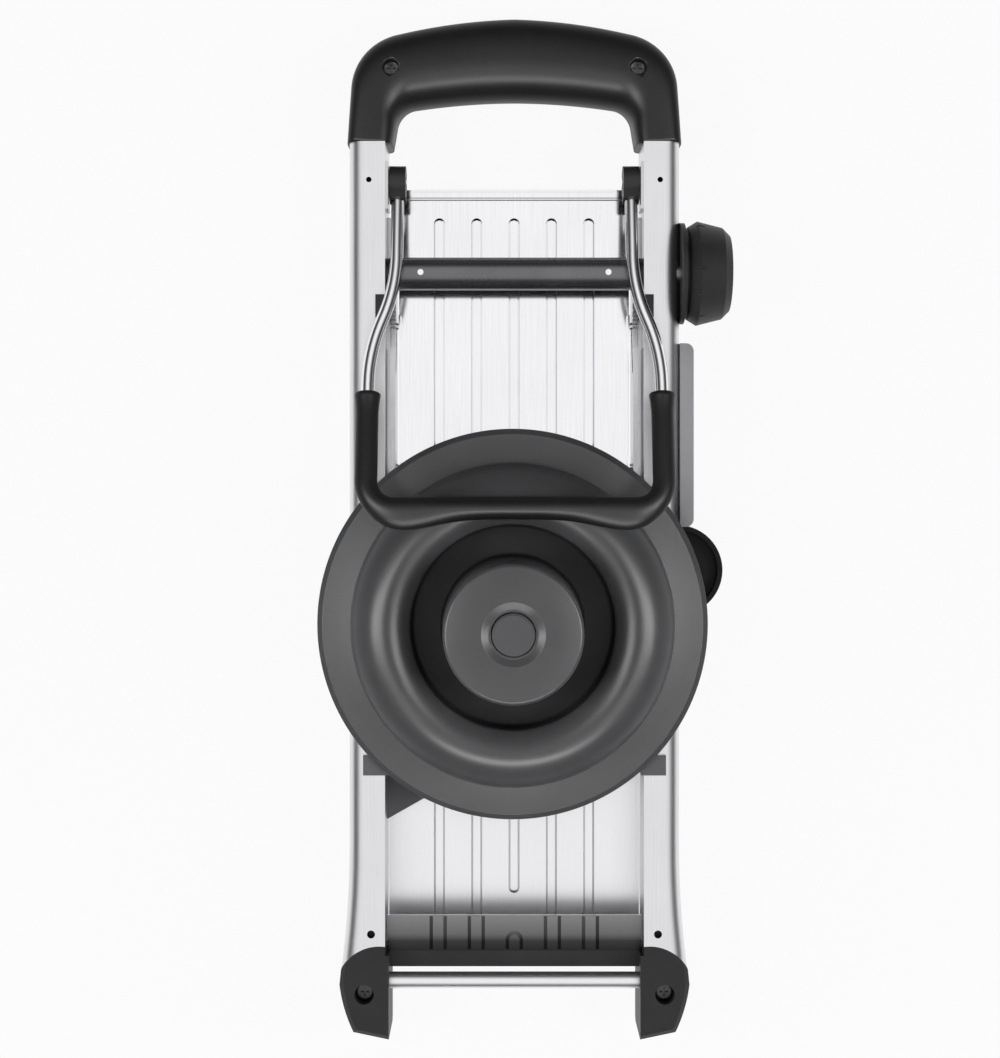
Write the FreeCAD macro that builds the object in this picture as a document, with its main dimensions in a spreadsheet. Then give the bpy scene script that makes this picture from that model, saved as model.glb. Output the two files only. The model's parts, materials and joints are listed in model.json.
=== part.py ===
import FreeCAD, Part
import Sketcher
import math
import os

# Mandoline slicer, folded for storage and lying on its working face.
# X runs across the rails, Y runs from the feet to the handle, Z points out of the underside.

# Driving sizes: name, value in millimetres or degrees, what it is
SIZES = [
    ("mid_x", -3.8, "middle plane between the rails, from the middle of the whole slicer"),
    ("fit_gap", 0.3, "gap between pieces that slide past each other"),
    ("pin_play", 0.05, "radial play of a pin in its hole"),
    ("sheet", 0.8, "thickness of the steel sheets"),
    ("rail_gap", 103.6, "clear width between the rails"),
    ("rail_width", 14.6, "rail width"),
    ("rail_height", 28, "rail height"),
    ("rail_wall", 1.2, "rail wall"),
    ("rail_round", 6, "rounding of a rail's outer edges"),
    ("rail_top", 154, "handle end of the rails"),
    ("rail_bottom", -168.4, "foot end of the rails, inner side"),
    ("rail_slant", 9.6, "how much further a rail's outer side runs"),
    ("flare_start", -128, "where the rails start to flare"),
    ("flare_reach", 3.2, "how far the rails flare"),
    ("vent_x", 58.3, "small round hole in each rail, from the middle"),
    ("vent_y", 138.6, "small round hole in each rail, along it"),
    ("vent_r", 1.1, "radius of the small round hole"),
    ("drain_x", 57.4, "lower hole in each rail, from the middle"),
    ("drain_y", -163.4, "lower hole in each rail, along it"),
    ("drain_r", 1.6, "radius of the lower hole"),
    ("handle_half", 67.5, "half width of the handle"),
    ("handle_lean", 2.6, "narrowing of the handle towards the bar"),
    ("grip_bar", 33, "width of the handle bar at its middle"),
    ("handle_drop", 9.4, "fall of the bar's outer edge to its corners"),
    ("handle_corner", 24, "outer corner radius of the handle"),
    ("handle_edge", 7, "rounding of the handle's long edges"),
    ("handle_wall", 3, "handle wall"),
    ("handle_arm", 18.3, "width of the handle's arms at the rails"),
    ("grip_gap_lean", 2.7, "narrowing of the finger gap towards the bar"),
    ("grip_gap_rise", 18.5, "height of the finger gap above the rails"),
    ("grip_gap_drop", 4, "fall of that edge to its corners"),
    ("grip_gap_corner", 9, "corner radius of the finger gap"),
    ("tongue_width", 8, "tongue that holds handle or foot in a rail"),
    ("tongue_length", 16, "length of that tongue"),
    ("tongue_inset", 1.8, "tongue height lost at each side of the rail's hollow"),
    ("handle_screw_side", 17.9, "handle screws, from the handle's outer side"),
    ("handle_screw_in", 11.5, "handle screws, from the finger gap's edge"),
    ("screw_r", 1.5, "screw shank radius"),
    ("screw_length", 14, "screw shank length"),
    ("screw_head_r", 2.9, "screw head radius"),
    ("screw_head", 2.2, "screw head height"),
    ("screw_sink", 5, "depth of the screw recess above the head's seat"),
    ("screw_slot", 0.9, "width of the cross in the screw head"),
    ("boss_wall", 2, "wall round a screw"),
    ("foot_half", 70.2, "half width over the feet"),
    ("foot_inner", 50.4, "inner side of the feet"),
    ("foot_low", -206, "lowest edge of the feet"),
    ("foot_tip_x", 64.6, "where a foot's lowest edge ends"),
    ("foot_heel", 3, "rise of a foot's lowest edge to its outer end"),
    ("foot_cheek_y", -184, "widest place of the feet"),
    ("foot_bow", 60, "radius of a foot's outer side"),
    ("foot_arch", 17, "radius of the edge where a rail meets its foot"),
    ("foot_edge", 1.8, "bevel of a foot's outer edges"),
    ("foot_screw_x", 60.2, "foot screws, from the middle"),
    ("foot_screw_y", -187.6, "foot screws, along the slicer"),
    ("foot_sink_r", 3.9, "radius of the foot screw recess"),
    ("tube_y", -183.8, "front tube, along the slicer"),
    ("tube_z", 20, "front tube, height"),
    ("tube_r", 3.3, "front tube radius"),
    ("tube_wall", 0.9, "front tube wall"),
    ("tube_socket", 6, "how deep the front tube sits in a foot"),
    ("strip_low", -178.6, "front strip, edge at the tube"),
    ("strip_top_z", 19, "front strip, top"),
    ("deck_z", 5, "working face of the sheets, below the rail tops"),
    ("landing_gap", 0.3, "gap between landing plate and rail"),
    ("landing_end", -172, "end of the landing plate"),
    ("flange_z", 19.8, "top of the return flange"),
    ("flange_edge", -157.6, "free edge of the return flange"),
    ("rib_pitch", 15.4, "spacing of the ribs"),
    ("rib_width", 4.5, "rib width"),
    ("rib_rise", 0.8, "rib height"),
    ("rib_top_end", 126.4, "handle end of the runway ribs"),
    ("rib_low_end", -166, "foot end of the landing ribs"),
    ("rib_mid_end", -152, "foot end of the middle landing rib"),
    ("runway_half", 47.4, "half width of the runway"),
    ("runway_top", 138, "handle end of the runway"),
    ("runway_lip_half", 41, "half width of the runway's lip"),
    ("runway_lip", 2.6, "height of the runway's lip"),
    ("runway_travel", 7.5, "travel of the runway"),
    ("lug_upper_y", 81.6, "upper lift pins, along the slicer"),
    ("lug_lower_y", 23.6, "lower lift pins, along the slicer"),
    ("lug_width", 9, "width of a pin lug"),
    ("pin_z", 7.5, "lift pins, height"),
    ("pin_r", 1.6, "lift pin radius"),
    ("slide_x", 48.2, "inner face of the lift slides"),
    ("slide_thick", 2, "lift slide thickness"),
    ("slide_travel", 18, "travel of the lift slides"),
    ("slide_low", 1, "foot end of the lift slides"),
    ("slide_step", 72, "where the rack part starts"),
    ("slide_high", 106, "handle end of the lift slides"),
    ("slide_base_z", 4.5, "lower edge of the lift slides"),
    ("slide_tall_z", 19, "upper edge of the lift slides"),
    ("guide_wall", 1.4, "slide guide thickness"),
    ("guide_top_z", 13.4, "upper edge of the slide guides"),
    ("guide_end", 125.5, "handle end of the slide guides"),
    ("rivet_r", 1.8, "guide rivet radius"),
    ("rivet_inset", 8, "outer guide rivets, from the ends of the slide guides"),
    ("dial_y", 101.6, "dial axis, along the slicer"),
    ("dial_z", 21.5, "dial axis, height"),
    ("rod_r", 4, "adjusting rod radius"),
    ("cross_tube_r", 6.6, "dark cross tube radius"),
    ("cross_pin_x", 37.6, "cross tube pins, from the middle"),
    ("cross_pin_r", 1.2, "cross tube pin radius"),
    ("bush_r", 5, "shaft bush radius"),
    ("bush_flange_r", 6.2, "shaft bush flange radius"),
    ("pitch_r", 6, "pinion pitch radius"),
    ("pinion_teeth", 12, "teeth on a pinion"),
    ("tooth_rise", 0.8, "tooth height above the pitch line"),
    ("tooth_sink", 1.1, "tooth depth below the pitch line"),
    ("tooth_share", 0.4, "tooth thickness as a share of the tooth spacing"),
    ("tooth_lean", 20, "slope of the tooth flanks"),
    ("ring_r", 20.3, "dial ring radius"),
    ("ring_thick", 1.7, "dial ring thickness"),
    ("knob_r", 20.9, "dial knob radius"),
    ("knob_neck_r", 16.5, "dial knob radius at its neck"),
    ("knob_neck", 1.2, "length of the knob's neck"),
    ("knob_back_r", 18.6, "dial knob radius behind its widest place"),
    ("knob_shoulder", 5, "length of the knob's back slope"),
    ("knob_depth", 18, "dial knob depth"),
    ("knob_front_r", 18.4, "dial knob radius at its face"),
    ("knob_edge", 3, "rounding of the knob's face"),
    ("knob_grooves", 12, "grooves round the knob"),
    ("knob_groove_r", 0.7, "radius of a groove"),
    ("legend_low", -0.4, "legend plate, foot end"),
    ("legend_high", 73.2, "legend plate, handle end"),
    ("legend_thick", 5.4, "legend plate, stand-out from the rail"),
    ("legend_z", 14, "legend plate, lower face"),
    ("legend_top_z", 27, "legend plate, upper face"),
    ("legend_corner", 3.2, "corner radius of the legend plate"),
    ("blade_angle", 29.5, "angle of the blade across the slicer"),
    ("pull_y", -18.4, "blade cartridge's middle at the right rail"),
    ("pull_r", 18.4, "blade grip radius"),
    ("pull_z", 1, "blade grip, lower face"),
    ("pull_top_z", 13, "blade grip, upper face"),
    ("pull_rim", 2, "rim of the blade grip"),
    ("pull_trough", 4, "width of the grip's trough"),
    ("pull_sink", 3, "depth of the grip's trough"),
    ("blade_edge", 9, "cutting edge, from the cartridge's middle line"),
    ("blade_back", -4, "blade's back, from the same line"),
    ("blade_thick", 1, "blade thickness"),
    ("blade_bevel", 0.6, "bevel of the cutting edge"),
    ("blade_left", 48, "blade's left end, from the middle"),
    ("blade_right", 49.5, "blade's right end, from the middle"),
    ("blade_rivet_x", 30, "blade rivets, from the middle"),
    ("blade_rivet_r", 1.5, "blade rivet radius"),
    ("carrier_back", -9.8, "cartridge frame's back edge"),
    ("carrier_front", 2, "cartridge frame's front edge"),
    ("carrier_thick", 4, "cartridge frame's thickness"),
    ("carrier_left", 50, "cartridge frame's left end, from the middle"),
    ("bridge_back", -30, "blade bridge's back edge"),
    ("bridge_thick", 3.8, "blade bridge's floor"),
    ("runway_slot", 3, "gap between cutting edge and runway"),
    ("clip_y", -95.6, "holder clips, along the slicer"),
    ("clip_width", 8, "holder clip width"),
    ("clip_thick", 1.2, "holder clip thickness"),
    ("clip_reach", 8.7, "holder clip's reach over the rail"),
    ("clip_drop", 7, "holder clip's drop beside the rail"),
    ("rest_y", 88, "leg rests, along the slicer"),
    ("rest_width", 9.2, "leg rest width"),
    ("rest_reach", 3.8, "leg rest's reach over the rail"),
    ("hinge_y", 138.6, "leg hinge, along the slicer"),
    ("hinge_z", 21.3, "leg hinge, height"),
    ("hinge_pin_r", 2, "leg hinge pin radius"),
    ("bracket_wall", 1.2, "leg bracket thickness"),
    ("bracket_low", 127, "leg bracket, foot end"),
    ("bracket_high", 146, "leg bracket, handle end"),
    ("bracket_z", 14.4, "leg bracket, lower edge"),
    ("knuckle_r", 6.4, "leg knuckle radius"),
    ("knuckle_half", 3.3, "half width of a leg knuckle"),
    ("knuckle_arm", 8, "leg knuckle's arm length"),
    ("knuckle_arm_half", 3.9, "half height of that arm"),
    ("wire_sink", 3, "how deep the leg wire sits in its knuckle"),
    ("leg_tilt", 15.6, "slope of the folded leg"),
    ("leg_length", 135.9, "leg, hinge to bar"),
    ("leg_low_half", 57.4, "leg wire at the bar, from the middle"),
    ("leg_bend_start", 32, "leg wire, start of the bend"),
    ("leg_bend_end", 86, "leg wire, end of the bend"),
    ("leg_corner", 11, "leg wire, corner radius"),
    ("wire_r", 2.6, "leg wire radius"),
    ("sleeve_start", 90.4, "leg sleeve's upper end"),
    ("sleeve_r", 4.4, "leg sleeve radius"),
    ("sleeve_lip_r", 5, "leg sleeve's lip radius"),
    ("sleeve_lip", 3, "leg sleeve's lip length"),
    ("pad_x", 44, "leg's foot pads, from the middle"),
    ("pad_half", 7, "half length of a foot pad"),
    ("pad_drop", 4.4, "foot pads' reach beyond the bar"),
    ("holder_x", -0.8, "food holder, from the middle plane"),
    ("holder_y", -39, "food holder, along the slicer"),
    ("hat_wall", 2.4, "food holder's wall"),
    ("brim_r", 77.9, "brim radius"),
    ("brim_thick", 2.6, "brim thickness"),
    ("brim_edge", 1.4, "brim's edge below its bevel"),
    ("brim_bevel", 2.2, "brim's bevel"),
    ("dome_mid_r", 49.7, "dome's ridge radius"),
    ("dome_mid_z", 6.4, "dome's middle above the brim's underside"),
    ("dome_bow", 14.5, "dome's section radius"),
    ("trench_r", 40.3, "trench's outer radius"),
    ("trench_z", 6, "trench floor above the brim's underside"),
    ("skirt", 6, "food holder's skirt below the brim"),
    ("tower_r", 26.3, "holder knob's radius"),
    ("tower_base_r", 27.4, "holder knob's radius at its base"),
    ("tower_top", 50.4, "holder knob's top above the brim's underside"),
    ("tower_round", 2, "rounding of the holder knob"),
    ("tower_cap", 5, "thickness of the holder knob's top"),
    ("button_r", 8, "plunger button radius"),
    ("button_sink", 2.4, "depth of the button's seat"),
    ("button_proud", 0.8, "how far the button stands proud"),
    ("plunger_r", 3.5, "plunger rod radius"),
    ("pusher_gap", 1.5, "gap between the pusher and the holder knob's wall"),
    ("pusher_thick", 3, "pusher plate thickness"),
    ("pusher_drop", 0.4, "pusher's top below the brim's underside"),
    ("prong_count", 8, "prongs on the pusher"),
    ("prong_ring_r", 15, "radius of the ring of prongs"),
    ("prong_r", 0.9, "prong radius"),
    ("prong_length", 9, "prong length"),
    ("prong_point", 3, "length of a prong's point"),
    ("spring_r", 7.4, "plunger spring's mean radius"),
    ("spring_wire_r", 0.6, "plunger spring's wire radius"),
    ("spring_turns", 9, "plunger spring's turns"),
]

doc = FreeCAD.newDocument("mandoline")
sheet = doc.addObject("Spreadsheet::Sheet", "sizes")
for row, (alias, number, note) in enumerate(SIZES, 1):
    sheet.set(f"A{row}", note)
    sheet.set(f"B{row}", str(number))
    sheet.setAlias(f"B{row}", alias)
doc.recompute()


class Size:
    """A number and the sheet formula that gives it."""

    def __init__(self, value, formula):
        self.value = value
        self.formula = formula

    def __add__(self, other):
        other = as_size(other)
        return Size(self.value + other.value, f"({self.formula} + {other.formula})")

    def __sub__(self, other):
        other = as_size(other)
        return Size(self.value - other.value, f"({self.formula} - {other.formula})")

    def __mul__(self, other):
        other = as_size(other)
        return Size(self.value * other.value, f"({self.formula} * {other.formula})")

    def __truediv__(self, other):
        other = as_size(other)
        return Size(self.value / other.value, f"({self.formula} / {other.formula})")

    def __radd__(self, other):
        return as_size(other) + self

    def __rsub__(self, other):
        return as_size(other) - self

    def __rmul__(self, other):
        return as_size(other) * self

    def __neg__(self):
        return as_size(0) - self

    def count(self):
        return int(round(self.value))


class Sheet:
    """The driving sizes by name."""

    def __getattr__(self, name):
        return Size(float(sheet.get(name)), f"sizes.{name}")


def as_size(number):
    if isinstance(number, Size):
        return number
    return Size(float(number), f"({float(number)!r})")


def root(size):
    return Size(math.sqrt(size.value), f"sqrt({size.formula})")


def sine(angle):
    angle = as_size(angle)
    return Size(math.sin(math.radians(angle.value)), f"sin({angle.formula})")


def cosine(angle):
    angle = as_size(angle)
    return Size(math.cos(math.radians(angle.value)), f"cos({angle.formula})")


d = Sheet()
FULL_TURN = 360
AXES = {
    "x": FreeCAD.Rotation(FreeCAD.Vector(0, 1, 0), 90),
    "y": FreeCAD.Rotation(FreeCAD.Vector(1, 0, 0), -90),
    "z": FreeCAD.Rotation(),
}
SIDES = {"left": -1, "right": 1}
nodes = {}
offsets = {}


def bind(thing, prop, size):
    thing.setExpression(prop, as_size(size).formula)


def place(thing, x=0, y=0, z=0):
    """Put a thing at a point given by sizes."""
    spot = [as_size(value) for value in (x, y, z)]
    thing.Placement.Base = FreeCAD.Vector(*[size.value for size in spot])
    for axis, size in zip("xyz", spot):
        bind(thing, f"Placement.Base.{axis}", size)
    offsets[thing.Name] = spot[0]
    return thing


def node(name, thing):
    """Name a finished piece and set it from the middle plane."""
    thing.Label = name
    bind(thing, "Placement.Base.x", d.mid_x + offsets.get(thing.Name, as_size(0)))
    nodes[name] = thing


def block(xs, ys, zs):
    """Box between two values along each axis."""
    thing = doc.addObject("Part::Box", "block")
    spans = [(as_size(low), as_size(high)) for low, high in (xs, ys, zs)]
    for prop, (low, high) in zip(("Length", "Width", "Height"), spans):
        bind(thing, prop, high - low)
    return place(thing, *[low for low, high in spans])


def between(side, near, far):
    """Span from near to far on one side of the middle plane, lower end first."""
    return (near, far) if side > 0 else (-far, -near)


def rod(axis, radius, start, end, across, up):
    """Cylinder along an axis; across and up are its other two coordinates in order."""
    thing = doc.addObject("Part::Cylinder", "rod")
    bind(thing, "Radius", radius)
    bind(thing, "Height", as_size(end) - start)
    thing.Placement.Rotation = AXES[axis]
    spot = {"x": (start, across, up), "y": (across, start, up), "z": (across, up, start)}
    return place(thing, *spot[axis])


def fuse(*parts):
    whole = doc.addObject("Part::MultiFuse", "fuse")
    whole.Shapes = list(parts)
    return whole


def cut(base, *tools):
    whole = doc.addObject("Part::Cut", "cut")
    whole.Base = base
    whole.Tool = tools[0] if len(tools) == 1 else fuse(*tools)
    return whole


def common(base, tool):
    whole = doc.addObject("Part::Common", "common")
    whole.Base = base
    whole.Tool = tool
    return whole


def group(*parts):
    whole = doc.addObject("Part::Compound", "group")
    whole.Links = list(parts)
    return whole


def new_body():
    return doc.addObject("PartDesign::Body", "body")


def new_sketch(body, plane, height=0):
    """Empty sketch on one of the body's own planes, moved along the plane's normal."""
    sketch = body.newObject("Sketcher::SketchObject", "sketch")
    origin = [part for part in body.Origin.OriginFeatures if part.Role == plane][0]
    sketch.AttachmentSupport = [(origin, "")]
    sketch.MapMode = "FlatFace"
    bind(sketch, "AttachmentOffset.Base.z", height)
    return sketch


def arc_centre(start, end, turn, radius):
    """Middle of the shorter arc between two points; turn is 1 when it lies to the left."""
    chord = end - start
    middle = (start + end) * 0.5
    lift = math.sqrt(max(radius**2 - (chord.Length / 2) ** 2, 0))
    normal = FreeCAD.Vector(-chord.y, chord.x, 0).normalize()
    return middle + normal * (lift * turn)


def fix(sketch, geometry, point, corner):
    """Tie a sketch point to its two sizes."""
    for kind, size in zip(("DistanceX", "DistanceY"), corner):
        size = as_size(size)
        rule = Sketcher.Constraint(kind, -1, 1, geometry, point, size.value)
        bind(sketch, f"Constraints[{sketch.addConstraint(rule)}]", size)


def add_arc(sketch, here, there, corner, after):
    """Arc from one corner to the next: (turn, radius), or (turn, None) for a half circle."""
    turn, radius = corner[2]
    half = radius is None
    reach = (there - here).Length / 2 if half else radius.value
    middle = arc_centre(here, there, turn, reach)
    first, last = (here, there) if turn > 0 else (there, here)
    angles = [math.atan2(p.y - middle.y, p.x - middle.x) for p in (first, last)]
    circle = Part.Circle(middle, FreeCAD.Vector(0, 0, 1), reach)
    geometry = sketch.addGeometry(Part.ArcOfCircle(circle, *angles))
    if half:
        flat = abs(there.x - here.x) > abs(there.y - here.y)
        axis = 1 if flat else 0
        size = (as_size(corner[axis]) + after[axis]) / 2
        kind = "DistanceY" if flat else "DistanceX"
        rule = Sketcher.Constraint(kind, -1, 1, geometry, 3, size.value)
    else:
        size = radius
        rule = Sketcher.Constraint("Radius", geometry, size.value)
    bind(sketch, f"Constraints[{sketch.addConstraint(rule)}]", size)
    return geometry, (1, 2) if turn > 0 else (2, 1)


def outline(sketch, corners, closed=True):
    """Lines and arcs through corners (x, y) or (x, y, bend), where a bend shapes the side that follows."""
    points = [FreeCAD.Vector(as_size(c[0]).value, as_size(c[1]).value, 0) for c in corners]
    sides = []
    for i in range(len(corners) if closed else len(corners) - 1):
        j = (i + 1) % len(corners)
        if len(corners[i]) > 2:
            sides.append(add_arc(sketch, points[i], points[j], corners[i], corners[j]))
        else:
            sides.append((sketch.addGeometry(Part.LineSegment(points[i], points[j])), (1, 2)))
    for i, (geometry, ends) in enumerate(sides):
        fix(sketch, geometry, ends[0], corners[i][:2])
        after = sides[(i + 1) % len(sides)]
        if closed or i + 1 < len(sides):
            sketch.addConstraint(
                Sketcher.Constraint("Coincident", geometry, ends[1], after[0], after[1][0])
            )
        else:
            fix(sketch, geometry, ends[1], corners[i + 1][:2])


def ring(sketch, radius, x=0, y=0):
    """Full circle in a sketch."""
    centre = FreeCAD.Vector(as_size(x).value, as_size(y).value, 0)
    circle = Part.Circle(centre, FreeCAD.Vector(0, 0, 1), as_size(radius).value)
    geometry = sketch.addGeometry(circle)
    rule = Sketcher.Constraint("Radius", geometry, as_size(radius).value)
    bind(sketch, f"Constraints[{sketch.addConstraint(rule)}]", radius)
    fix(sketch, geometry, 3, (x, y))


def feature(body, kind, profile, length=None, **settings):
    """Add a sketch based feature to a body."""
    thing = body.newObject(f"PartDesign::{kind}", kind.lower())
    thing.Profile = profile
    if length is not None:
        bind(thing, "Length", length)
    for name, value in settings.items():
        setattr(thing, name, value)
    return thing


def soften(body, base, kind, size, test):
    """Fillet or chamfer the edges whose middle passes the test."""
    doc.recompute()
    edges = base.Shape.Edges
    names = [f"Edge{i}" for i, edge in enumerate(edges, 1) if test(middle_of(edge))]
    thing = body.newObject(f"PartDesign::{kind}", kind.lower())
    thing.Base = (base, names)
    bind(thing, "Radius" if kind == "Fillet" else "Size", size)
    return thing


def middle_of(edge):
    return edge.valueAt((edge.FirstParameter + edge.LastParameter) / 2)


def slab(corners, low, high):
    """Plate with an outline in the XY plane between two heights."""
    body = new_body()
    sketch = new_sketch(body, "XY_Plane", low)
    outline(sketch, corners)
    feature(body, "Pad", sketch, as_size(high) - low)
    return body


def near(value, size):
    return abs(value - as_size(size).value) < 0.01


# Lines shared by several pieces
rail_inner = d.rail_gap / 2
rail_outer = rail_inner + d.rail_width
sheet_top = d.deck_z + d.sheet
slide_outer = d.slide_x + d.slide_thick
guide_inner = rail_inner - d.guide_wall
blade_slope = sine(d.blade_angle) / cosine(d.blade_angle)
pull_x = rail_outer + d.fit_gap
carrier_low_z = d.deck_z + d.blade_thick
carrier_top_z = carrier_low_z + d.carrier_thick
bridge_floor_z = carrier_top_z + d.fit_gap
holder_z = d.rail_height + d.clip_thick + d.fit_gap
tongue_low_x = rail_inner + d.rail_wall + d.fit_gap
tongue_low_z = d.rail_wall + d.tongue_inset
half_height = d.rail_height / 2
grip_gap_peak = d.rail_top + d.grip_gap_rise
handle_peak = grip_gap_peak + d.grip_bar
handle_screw_x = d.handle_half - d.handle_screw_side
handle_screw_y = grip_gap_peak + d.handle_screw_in
leg_top_half = rail_inner - d.bracket_wall - d.fit_gap - d.knuckle_half
pusher_r = d.tower_r - d.hat_wall - d.pusher_gap


def blade_y(x, away):
    """Y on a line parallel to the blade, at a distance from the cartridge's middle line."""
    return d.pull_y + (x - pull_x) * blade_slope + away / cosine(d.blade_angle)


def blade_band(left, right, back, front):
    """Strip along the blade between two X values."""
    return [
        (left, blade_y(left, back)),
        (right, blade_y(right, back)),
        (right, blade_y(right, front)),
        (left, blade_y(left, front)),
    ]


def rail_shape(side, inset, overrun):
    """Rail outline with rounded outer edges, or the hollow inside it."""
    inner = side * (rail_inner + inset)
    outer = side * (rail_outer - inset)
    flared = outer + side * d.flare_reach
    top = d.rail_top + overrun
    low = d.rail_bottom - overrun
    low_outer = low - d.rail_slant
    drop = d.flare_start - low_outer
    bow = (drop * drop + d.flare_reach * d.flare_reach) / (2 * d.flare_reach)
    body = new_body()
    sketch = new_sketch(body, "XY_Plane", inset)
    corners = [(inner, top), (inner, low, (-side, d.foot_arch)), (flared, low_outer, (-side, bow))]
    outline(sketch, corners + [(outer, d.flare_start), (outer, top)])
    pad = feature(body, "Pad", sketch, d.rail_height - 2 * inset)
    heights = (as_size(inset), d.rail_height - inset)
    limit = abs(outer.value) - 0.01
    soften(
        body, pad, "Fillet", d.rail_round - inset,
        lambda p: abs(p.x) > limit and low_outer.value < p.y < top.value
        and any(near(p.z, height) for height in heights),
    )
    return body


def blade_passage():
    """Way of the blade cartridge through the right rail."""
    reach = (rail_inner - 1, rail_outer + 1)
    edges = (d.carrier_back - d.fit_gap, d.blade_edge + d.fit_gap)
    return slab(blade_band(*reach, *edges), d.deck_z - d.fit_gap, carrier_top_z + d.fit_gap)


def guide_rivet_spots():
    ends = (d.slide_low + d.rivet_inset, d.guide_end - d.rivet_inset)
    return [ends[0], (d.slide_low + d.guide_end) / 2, ends[1]]


def rails():
    past_end = 1
    rivet_z = (d.slide_base_z + d.guide_top_z) / 2
    for name, side in SIDES.items():
        shell = rail_shape(side, as_size(0), as_size(0))
        hollow = rail_shape(side, d.rail_wall, as_size(past_end))
        under = (half_height, d.rail_height + past_end)
        holes = [
            rod("z", d.vent_r, *under, side * d.vent_x, d.vent_y),
            rod("z", d.drain_r, *under, side * d.drain_x, d.drain_y),
        ]
        wall = between(side, rail_inner - past_end, rail_inner + 2 * d.rail_wall)
        holes.append(rod("x", d.bush_r, *wall, d.dial_y, d.dial_z))
        holes.append(rod("x", d.hinge_pin_r, *wall, d.hinge_y, d.hinge_z))
        for y in guide_rivet_spots():
            holes.append(rod("x", d.rivet_r, *wall, y, rivet_z))
        if side > 0:
            skin = (rail_outer - d.rail_round, rail_outer + past_end)
            holes.append(rod("x", d.rod_r + d.fit_gap, *skin, d.dial_y, d.dial_z))
            holes.append(blade_passage())
        node(f"{name}_rail", cut(shell, hollow, *holes))


def handle_form(inset):
    """Arched handle bar, or the hollow inside it."""
    half = d.handle_half - inset
    half_high = half - d.handle_lean
    peak = handle_peak - inset
    shoulder = peak - d.handle_drop
    gap_low = d.handle_half - d.handle_arm + inset
    gap_high = gap_low - d.grip_gap_lean
    gap_peak = grip_gap_peak + inset
    gap_shoulder = gap_peak - d.grip_gap_drop
    low = d.rail_top + inset
    bow = (half_high * half_high + d.handle_drop * d.handle_drop) / (2 * d.handle_drop)
    gap_bow = (gap_high * gap_high + d.grip_gap_drop * d.grip_gap_drop) / (2 * d.grip_gap_drop)
    body = new_body()
    sketch = new_sketch(body, "XY_Plane", inset)
    outline(sketch, [
        (half, low),
        (half_high, shoulder, (1, bow)),
        (as_size(0), peak, (1, bow)),
        (-half_high, shoulder),
        (-half, low),
        (-gap_low, low),
        (-gap_high, gap_shoulder, (-1, gap_bow)),
        (as_size(0), gap_peak, (-1, gap_bow)),
        (gap_high, gap_shoulder),
        (gap_low, low),
    ])
    pad = feature(body, "Pad", sketch, d.rail_height - 2 * inset)
    outer = soften(
        body, pad, "Fillet", d.handle_corner - inset,
        lambda p: near(abs(p.x), half_high) and near(p.y, shoulder),
    )
    inner = soften(
        body, outer, "Fillet", d.grip_gap_corner + inset,
        lambda p: near(abs(p.x), gap_high) and near(p.y, gap_shoulder),
    )
    if as_size(inset).value == 0:
        faces = (0, d.rail_height.value)
        soften(
            body, inner, "Fillet", d.handle_edge,
            lambda p: min(abs(p.z - face) for face in faces) < 0.01 and p.y > low.value + 0.01,
        )
    return body


def screw(x, y, seat):
    """Round head screw that points down, its head on the seat."""
    head = rod("z", d.screw_head_r, seat, seat + d.screw_head, x, y)
    shank = rod("z", d.screw_r, seat - d.screw_length, seat, x, y)
    depth = (seat + d.screw_head / 2, seat + d.screw_head)
    wide = d.screw_head_r * 0.6
    slim = d.screw_slot / 2
    slots = [
        block((x - wide, x + wide), (y - slim, y + slim), depth),
        block((x - slim, x + slim), (y - wide, y + wide), depth),
    ]
    return cut(fuse(head, shank), *slots)


def handle():
    hollow = cut(handle_form(as_size(0)), handle_form(d.handle_wall))
    seat = d.rail_height - d.screw_sink - d.screw_head
    tip = seat - d.screw_length
    room = handle_peak + d.handle_half
    halves = {"top": (as_size(0), half_height), "bottom": (half_height, d.rail_height)}
    for name, (low, high) in halves.items():
        shell = common(hollow, block((-room, room), (0, room), (low, high)))
        extras = []
        holes = []
        for side in SIDES.values():
            x = side * handle_screw_x
            y = handle_screw_y
            tongue = between(side, tongue_low_x, tongue_low_x + d.tongue_width)
            reach = (d.rail_top - d.tongue_length, d.rail_top + d.handle_wall)
            if name == "top":
                extras.append(rod("z", d.screw_r + d.boss_wall, d.handle_wall / 2, half_height, x, y))
                holes.append(rod("z", d.screw_r + d.pin_play, tip, half_height, x, y))
                rise = (tongue_low_z, half_height)
            else:
                wide = d.screw_head_r + d.fit_gap + d.boss_wall
                extras.append(rod("z", wide, half_height, d.rail_height - d.handle_wall / 2, x, y))
                holes.append(rod("z", d.screw_r + d.pin_play, half_height, d.rail_height, x, y))
                holes.append(rod("z", d.screw_head_r + d.fit_gap, seat, d.rail_height + 1, x, y))
                rise = (half_height, d.rail_height - tongue_low_z)
            extras.append(block(tongue, reach, rise))
        node(f"handle_{name}_shell", cut(fuse(shell, *extras), *holes))
    screws = [screw(side * handle_screw_x, handle_screw_y, seat) for side in SIDES.values()]
    node("handle_screws", group(*screws))


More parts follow.
